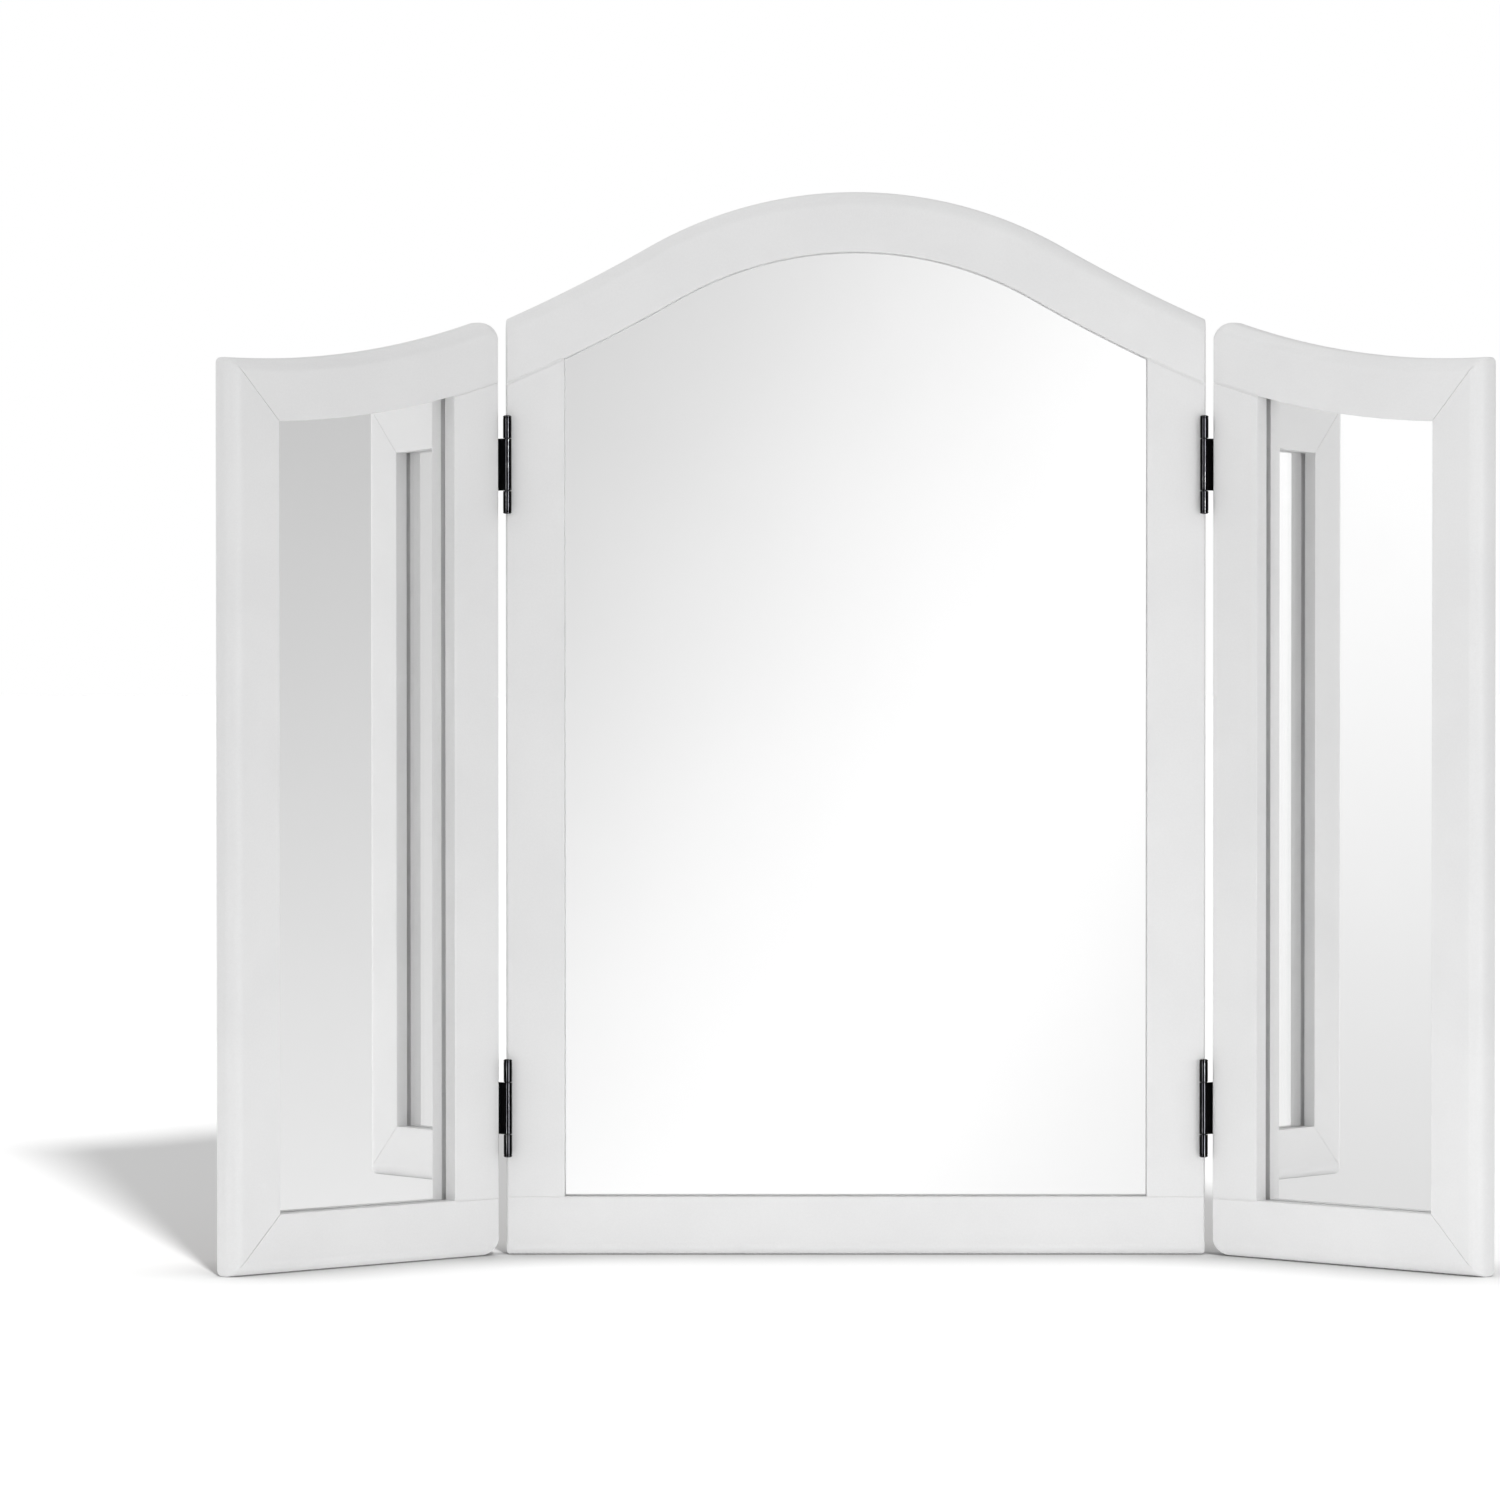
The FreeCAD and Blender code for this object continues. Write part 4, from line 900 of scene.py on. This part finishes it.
board_places = {
    panel: [((across, BOARD_FACE, up), (0, 1, 0)) for across, up in heads]
    for panel, heads in (("centre", centre_heads), ("left_wing", wing_heads), ("right_wing", wing_heads))
}
board_screw = screw_tree("round_head_screw", BOARD_SCREW, True)
screws("board_screws", board_places, board_screw, zinc_plate(), 0)

# ---------------------------------------------------------------- hinges
# Four small flush hinges of polished black steel, two to a wing: an outer leaf on the centre panel with a
# window that the wing's inner leaf lies in, both countersunk and screwed on, and a pin with a domed button
# at each end.

HINGE_DROP = 41.2  # from the crown's joint to the middle of the upper hinges
HINGE_MIDDLES = {"upper": joint_out[1] - HINGE_DROP, "lower": 76.0}
HINGE_HALF = 24.0
KNUCKLE = 2.2
KNUCKLE_EDGE = 0.3
KNUCKLE_SIDES = 32
OUTER_KNUCKLE = 13.5  # where the outer leaf's two knuckles start, up and down from the middle
PIN = 1.0
PIN_HOLE = 1.05
LEAF = 1.0
LEAF_EDGE = 0.15
OUTER_NEAR, OUTER_FAR = 1.0, 17.75  # from the axis: to the side and back
WINDOW_FAR, WINDOW_HALF = 14.05, 13.65
INNER_NEAR, INNER_FAR, INNER_HALF = 1.2, 13.75, 13.35
OUTER_SCREW = (10.75, 18.825)  # back from the axis, and up and down from the middle
INNER_SCREW = (8.75, 6.0)
COUNTERSINK = ((-0.6, 3.0), (0.0, 2.4), (1.1, 1.3), (1.6, 1.3))  # (depth, radius) of the cutter
BUTTON = [(PIN, 24.0), (2.05, 24.0), (KNUCKLE, 24.15), (KNUCKLE, 24.7), (1.95, 25.05), (1.3, 25.3), (0, 25.4)]
HINGE_SCREW = {
    "Head Radius": 0.0024,
    "Head Height": 0.0011,
    "Slot Width": 0.0006,
    "Shank Radius": 0.0013,
    "Length": 0.012,
}


def black_polish():
    """Black oxide polished bright, a little greyer where handling has rubbed the knuckles."""
    material, tint, shader = new_finish("black_polish", Metallic=1.0)
    where = tint.node("ShaderNodeTexCoord", output="Object")
    drag = tint.noise(tint.stretched(where, (2600.0, 2600.0, 60.0)), 1.0, 3.0)
    cloud = tint.noise(where, 420.0, 3.0)
    worn = drag.between(0.5, 0.7) * cloud.between(0.35, 0.65)
    colour = tint.blend(worn, (0.0025, 0.0025, 0.0028, 1), (0.008, 0.008, 0.008, 1))
    dress(tint, shader, Base_Color=colour, Roughness=0.06 + 0.05 * cloud, Normal=tint.bump(drag, 0.0000012))
    return material


def revolved(shape, profile):
    """Turn a closed profile of (out, up) points about the hinge's axis."""
    rings = []
    for k in range(KNUCKLE_SIDES):
        angle = 2 * math.pi * k / KNUCKLE_SIDES
        rings.append([shape.verts.new((r * math.cos(angle), r * math.sin(angle), z)) for r, z in profile])
    skin(shape, rings + rings[:1])


def knuckle(shape, low, high, bore):
    """A rolled knuckle with chamfered ends."""
    chamfered = KNUCKLE - KNUCKLE_EDGE
    ends = [(KNUCKLE, low + KNUCKLE_EDGE), (KNUCKLE, high - KNUCKLE_EDGE)]
    revolved(shape, [(bore, low), (chamfered, low), *ends, (chamfered, high), (bore, high)])


def plate(shape, near, outline):
    """A flat leaf with its (back, up) outline eased all round."""
    faces = []
    for x in (near, near + LEAF):
        faces.append(shape.faces.new([shape.verts.new((x, y, z)) for y, z in outline]))
    front, back = (list(face.verts) for face in faces)
    sides = []
    for k in range(len(outline)):
        n = (k + 1) % len(outline)
        sides.append(shape.faces.new((front[k], front[n], back[n], back[k])))
    edges = list(dict.fromkeys(edge for face in faces + sides for edge in face.edges))
    bmesh.ops.bevel(shape, geom=edges, offset=LEAF_EDGE, segments=2, profile=0.5, affect="EDGES")


def drill(leaf, holes):
    """Countersink a leaf: each hole is a (side, back, up) mouth and the way it runs, +1 or -1."""
    tool = bmesh.new()
    for (x, y, z), way in holes:
        rows = []
        for depth, radius in COUNTERSINK:
            angles = [2 * math.pi * k / HEAD_SIDES for k in range(HEAD_SIDES)]
            ring = [(y + radius * math.cos(a), z + radius * math.sin(a)) for a in angles]
            rows.append([tool.verts.new((x + way * depth, *point)) for point in ring])
        skin(tool, rows)
        tool.faces.new(rows[0])
        tool.faces.new(rows[-1])
    bmesh.ops.recalc_face_normals(tool, faces=tool.faces)
    cutter = as_object(tool, "countersinks")
    cut = leaf.modifiers.new("countersunk", "BOOLEAN")
    cut.object, cut.operation, cut.solver = cutter, "DIFFERENCE", "EXACT"
    make_plain(leaf)
    bpy.data.objects.remove(cutter)


polished_steel = bpy.data.collections.new("polished_steel")
black = black_polish()


def hinge_piece(name, wing, panel, middle, shape, holes=()):
    """Finish a hinge's part, drawn about its axis in millimetres, and put it in its place."""
    bmesh.ops.remove_doubles(shape, verts=shape.verts, dist=1e-4)
    bmesh.ops.dissolve_degenerate(shape, edges=shape.edges, dist=1e-5)
    bmesh.ops.recalc_face_normals(shape, faces=shape.faces)
    piece = as_object(shape, name)
    if holes:
        drill(piece, holes)
    placed = bmesh.new()
    placed.from_mesh(piece.data)
    for vertex in placed.verts:
        x, y, z = vertex.co
        if panel == "centre_panel":
            point = stood(panel, AXIS[0] + x, y - AXIS_FORWARD, middle + z)
            vertex.co = point if wing == "right_wing" else (-point[0], point[1], point[2])
        else:
            vertex.co = stood(panel, x, y - AXIS_FORWARD, middle + z)
    bmesh.ops.recalc_face_normals(placed, faces=placed.faces)
    placed.to_mesh(piece.data)
    placed.free()
    piece.data.materials.append(black)
    piece.data.shade_smooth()
    piece.data.set_sharp_from_angle(angle=STEEL_TURN)
    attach(piece, panel)
    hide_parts(name.replace("_turned", ""))
    polished_steel.objects.link(piece)


outer_leaf = [(0, -HINGE_HALF), (OUTER_FAR, -HINGE_HALF), (OUTER_FAR, HINGE_HALF), (0, HINGE_HALF)]
outer_leaf += [(0, WINDOW_HALF), (WINDOW_FAR, WINDOW_HALF), (WINDOW_FAR, -WINDOW_HALF), (0, -WINDOW_HALF)]
inner_leaf = [(0, -INNER_HALF), (INNER_FAR, -INNER_HALF), (INNER_FAR, INNER_HALF), (0, INNER_HALF)]
outer_mouth = OUTER_NEAR + LEAF
for wing in ("left_wing", "right_wing"):
    side = wing.split("_")[0]
    for level, middle in HINGE_MIDDLES.items():
        hinge = f"{side}_{level}_hinge"
        shape = bmesh.new()
        plate(shape, OUTER_NEAR, outer_leaf)
        knuckle(shape, OUTER_KNUCKLE, HINGE_HALF, PIN)
        knuckle(shape, -HINGE_HALF, -OUTER_KNUCKLE, PIN)
        sinks = [((outer_mouth, OUTER_SCREW[0], sign * OUTER_SCREW[1]), -1) for sign in (1, -1)]
        hinge_piece(f"{hinge}_frame_leaf_turned", wing, "centre_panel", middle, shape, sinks)
        shape = bmesh.new()
        plate(shape, INNER_NEAR, inner_leaf)
        knuckle(shape, -INNER_HALF, INNER_HALF, PIN_HOLE)
        sinks = [((INNER_NEAR, INNER_SCREW[0], sign * INNER_SCREW[1]), 1) for sign in (1, -1)]
        hinge_piece(f"{hinge}_wing_leaf_turned", wing, wing, middle, shape, sinks)
        shape = bmesh.new()
        revolved(shape, BUTTON + [(out, -up) for out, up in reversed(BUTTON)])
        hinge_piece(f"{hinge}_pin_turned", wing, "centre_panel", middle, shape)

hinge_places = {panel: [] for panel in PANEL_BODIES}
outer_back, inner_back = OUTER_SCREW[0] - AXIS_FORWARD, INNER_SCREW[0] - AXIS_FORWARD
for middle in HINGE_MIDDLES.values():
    for sign in (1, -1):
        up = middle + sign * OUTER_SCREW[1]
        for out in (1, -1):
            head = (out * (AXIS[0] + outer_mouth), outer_back, up)
            hinge_places["centre"].append((head, (out, 0, 0)))
        for wing in ("left_wing", "right_wing"):
            head = (INNER_NEAR, inner_back, middle + sign * INNER_SCREW[1])
            hinge_places[wing].append((head, (-1, 0, 0)))
hinge_screw = screw_tree("countersunk_screw", HINGE_SCREW, False)
screws("hinge_screws", hinge_places, hinge_screw, black, 3)

# ---------------------------------------------------------------- floor
# A plain white floor that keeps the shadow, with painted shade darkening its colour softly close to whatever
# stands on it. Glossy and clear surfaces look through it to the studio.

FLOOR_HALF = 30.0  # in metres, as all sizes are from here on
PAINTED_SHADE_REACH = 0.07  # how near something has to be for painted shade to darken the floor
SEEN_OPEN, SEEN_PAINTED_SHADE = 0.54, 0.48  # level the camera sees in the open, and the painted shade taken off right under something
BOUNCE_OPEN, BOUNCE_PAINTED_SHADE, BOUNCE_PAINTED_FALLOFF = 0.79, 0.33, 0.28  # the same for light thrown back, and the painted darkening far off
GLOW = 0.38


def floor_finish():
    """White floor paint with painted shade. The camera sees one level of it, and the object gets another
    thrown back.
    """
    material = bpy.data.materials.new("white_floor")
    material.use_nodes = True
    tint = Tint(material.node_tree)
    shader = material.node_tree.nodes["Principled BSDF"]
    shader.inputs["Roughness"].default_value = 0.9
    shader.inputs["Specular IOR Level"].default_value = 0.0
    contact = {"Distance": PAINTED_SHADE_REACH}
    # Painted shade: ambient occlusion darkens the floor's colour close to whatever stands on it.
    painted_shade_mask = 1 - tint.node("ShaderNodeAmbientOcclusion", {"samples": 12}, contact, output="AO")
    seen = tint.node("ShaderNodeLightPath", output="Is Camera Ray")
    where = tint.node("ShaderNodeTexCoord", output="Object")
    away = tint.node("ShaderNodeVectorMath", {"operation": "LENGTH"}, {0: where}, output="Value")
    # Light thrown back is painted darker under things and farther off: a painted pool of light round the
    # object.
    bounced = BOUNCE_OPEN - BOUNCE_PAINTED_SHADE * painted_shade_mask - BOUNCE_PAINTED_FALLOFF * away.between(0.12, 1.0)
    shade = seen * (SEEN_OPEN - SEEN_PAINTED_SHADE * painted_shade_mask) + (1 - seen) * bounced
    painted_floor_colour = tint.blend(shade, (0.0, 0.0, 0.0, 1), (0.8, 0.8, 0.8, 1))
    dress(tint, shader, Base_Color=painted_floor_colour)
    mirrored = tint.node("ShaderNodeLightPath", output="Is Glossy Ray")
    through = tint.node("ShaderNodeLightPath", output="Is Transmission Ray")
    # A glow on top whitens the open floor for the camera; it carries the painted shade too.
    glow = tint.node("ShaderNodeEmission", None, {"Strength": GLOW * seen * shade})
    clear = tint.node("ShaderNodeBsdfTransparent")
    both = tint.node("ShaderNodeAddShader", None, {0: Tint(tint.tree, shader.outputs[0]), 1: glow})
    looked_through = (mirrored + through).between(0.0, 1.0)
    mixed = tint.node("ShaderNodeMixShader", None, {0: looked_through, 1: both, 2: clear})
    output = material.node_tree.nodes["Material Output"]
    tint.tree.links.new(mixed.socket, output.inputs["Surface"])
    return material


floor_mesh = bpy.data.meshes.new("floor")
floor_corners = [(x * FLOOR_HALF, y * FLOOR_HALF, 0) for x, y in ((-1, -1), (1, -1), (1, 1), (-1, 1))]
floor_mesh.from_pydata(floor_corners, [], [(0, 1, 2, 3)])
floor_mesh.materials.append(floor_finish())
floor = in_scene("floor", floor_mesh)

# ---------------------------------------------------------------- studio
# A pale room all round, seen as plain white by the camera. Its walls' tones light the object and show in
# the mirrors, and its ceiling is brighter. Two tall strips in front show only in glossy surfaces.

studio = bpy.data.worlds.new("studio")
bpy.context.scene.world = studio
studio.use_nodes = True
sky = Tint(studio.node_tree)
towards = sky.node("ShaderNodeTexCoord")
parts = sky.node("ShaderNodeSeparateXYZ", None, {0: towards})
to_right, to_back, upward = (Tint(sky.tree, parts.socket.node.outputs[k]) for k in range(3))
to_left, to_front = -1 * to_right, -1 * to_back


def strip_light(near, far, sideways):
    """A tall strip in front, between two slants to one side."""
    slope = sideways / to_front
    low = 1 - (upward * upward).between(0.1, 0.2)
    edge = 0.06
    across = slope.between(near, near + edge) * (1 - slope.between(far - edge, far))
    return across * to_front.between(0.0, 0.1) * low


# The side walls change about the height of the lens, the front wall along a slant and at each end.
left_wall = 0.735 + 0.325 * upward.between(-0.12, 0.04)
right_wall = 0.90 - 0.33 * upward.between(-0.14, 0.08)
slant = 0.869 * to_right - 0.4946 * upward
right_end, left_end = to_right.between(0.07, 0.13), to_left.between(0.07, 0.13)
height = upward.between(-0.09, 0.05)
front_middle = 0.685 + 0.40 * slant.between(-0.075, 0.03) - 0.155 * slant.between(0.035, 0.09)
front_wall = (
    front_middle * (1 - right_end - left_end)
    + (0.85 - 0.14 * height) * right_end
    + (0.97 + 0.16 * height) * left_end
)
on_right, on_left = to_right.between(0.15, 0.8), to_left.between(0.15, 0.8)
wall = right_wall * on_right + front_wall * (1 - on_right - on_left) + left_wall * on_left
# Upper walls are dimmer, the ceiling is bright, and the left wall dips between its ends.
wall = wall * (1 - (0.45 - 0.22 * on_left) * upward.between(0.07, 0.5))
wall = wall + 0.65 * upward.between(0.5, 0.9)
wall = wall * (1 - 0.12 * to_left.between(0.2, 0.35) * (1 - to_left.between(0.8, 0.92)))
strips = 5.0 * strip_light(0.42, 0.75, to_right) + 3.0 * strip_light(1.1, 1.5, to_left)
seen = sky.node("ShaderNodeLightPath", output="Is Camera Ray")
polished = sky.node("ShaderNodeLightPath", output="Is Glossy Ray")
level = seen + (1 - seen) * (wall + polished * strips)
background = studio.node_tree.nodes["Background"]
background.inputs["Color"].default_value = (1, 1, 1, 1)
sky.tree.links.new(level.socket, background.inputs["Strength"])

# ---------------------------------------------------------------- lamps
# A soft key light from the front right, a sun that reaches the floor alone, so that it's white round a
# soft shadow, and two tall strip lights that only the hinges' steel catches.

LAMP_AIM = Vector((0, 0, 0.3))
SUN_AZIMUTH, SUN_RISE, SUN_WIDTH = math.radians(13), math.radians(28.2), math.radians(4.5)
STRIP_AWAY, STRIP_TALL = 2.5, 1.8


def lamp(name, kind, energy):
    made = in_scene(name, bpy.data.lights.new(name, kind))
    made.data.energy = energy
    return made


key = lamp("key_light", "AREA", 4.8)
key.data.size = 0.7
key.location = (0.75, -1.5, 0.32)
key.visible_glossy = False
key.visible_transmission = False
key.rotation_euler = (Vector(key.location) - LAMP_AIM).to_track_quat("Z", "Y").to_euler()

floor_key = lamp("floor_key_light", "SUN", 7.4)
floor_key.data.angle = SUN_WIDTH
level_reach = math.cos(SUN_RISE)
towards_sun = Vector(
    (math.sin(SUN_AZIMUTH) * level_reach, -math.cos(SUN_AZIMUTH) * level_reach, math.sin(SUN_RISE))
)
floor_key.rotation_euler = towards_sun.to_track_quat("Z", "Y").to_euler()
lit_floor = bpy.data.collections.new("lit_floor")
lit_floor.objects.link(floor)
floor_key.light_linking.receiver_collection = lit_floor

for name, azimuth, width, energy in (("right_strip", 29, 0.3, 800.0), ("left_strip", -36, 0.2, 260.0)):
    strip = lamp(name, "AREA", energy)
    strip.data.shape = "RECTANGLE"
    strip.data.size, strip.data.size_y = width, STRIP_TALL
    turn = math.radians(azimuth)
    strip.location = (STRIP_AWAY * math.sin(turn), -STRIP_AWAY * math.cos(turn), LAMP_AIM.z)
    strip.rotation_euler = (math.radians(90), 0, turn)
    strip.light_linking.receiver_collection = polished_steel

# ---------------------------------------------------------------- camera
# A long lens three and a half metres in front, a little above the middle of the mirror and tipped slightly
# down, with a small sideways shift that puts the mirror in the middle of the frame.

CAMERA_TIP = 1.03  # degrees below level

lens = bpy.data.cameras.new("camera")
lens.sensor_width = 36
lens.lens = 159.1
lens.shift_x = -0.0705
lens.shift_y = 0.0008
lens.clip_end = 100
camera = in_scene("camera", lens)
camera.location = (0, -3.42, 0.321)
camera.rotation_euler = (math.radians(90 - CAMERA_TIP), 0, 0)
bpy.context.scene.camera = camera
bpy.context.scene.view_settings.view_transform = "Standard"
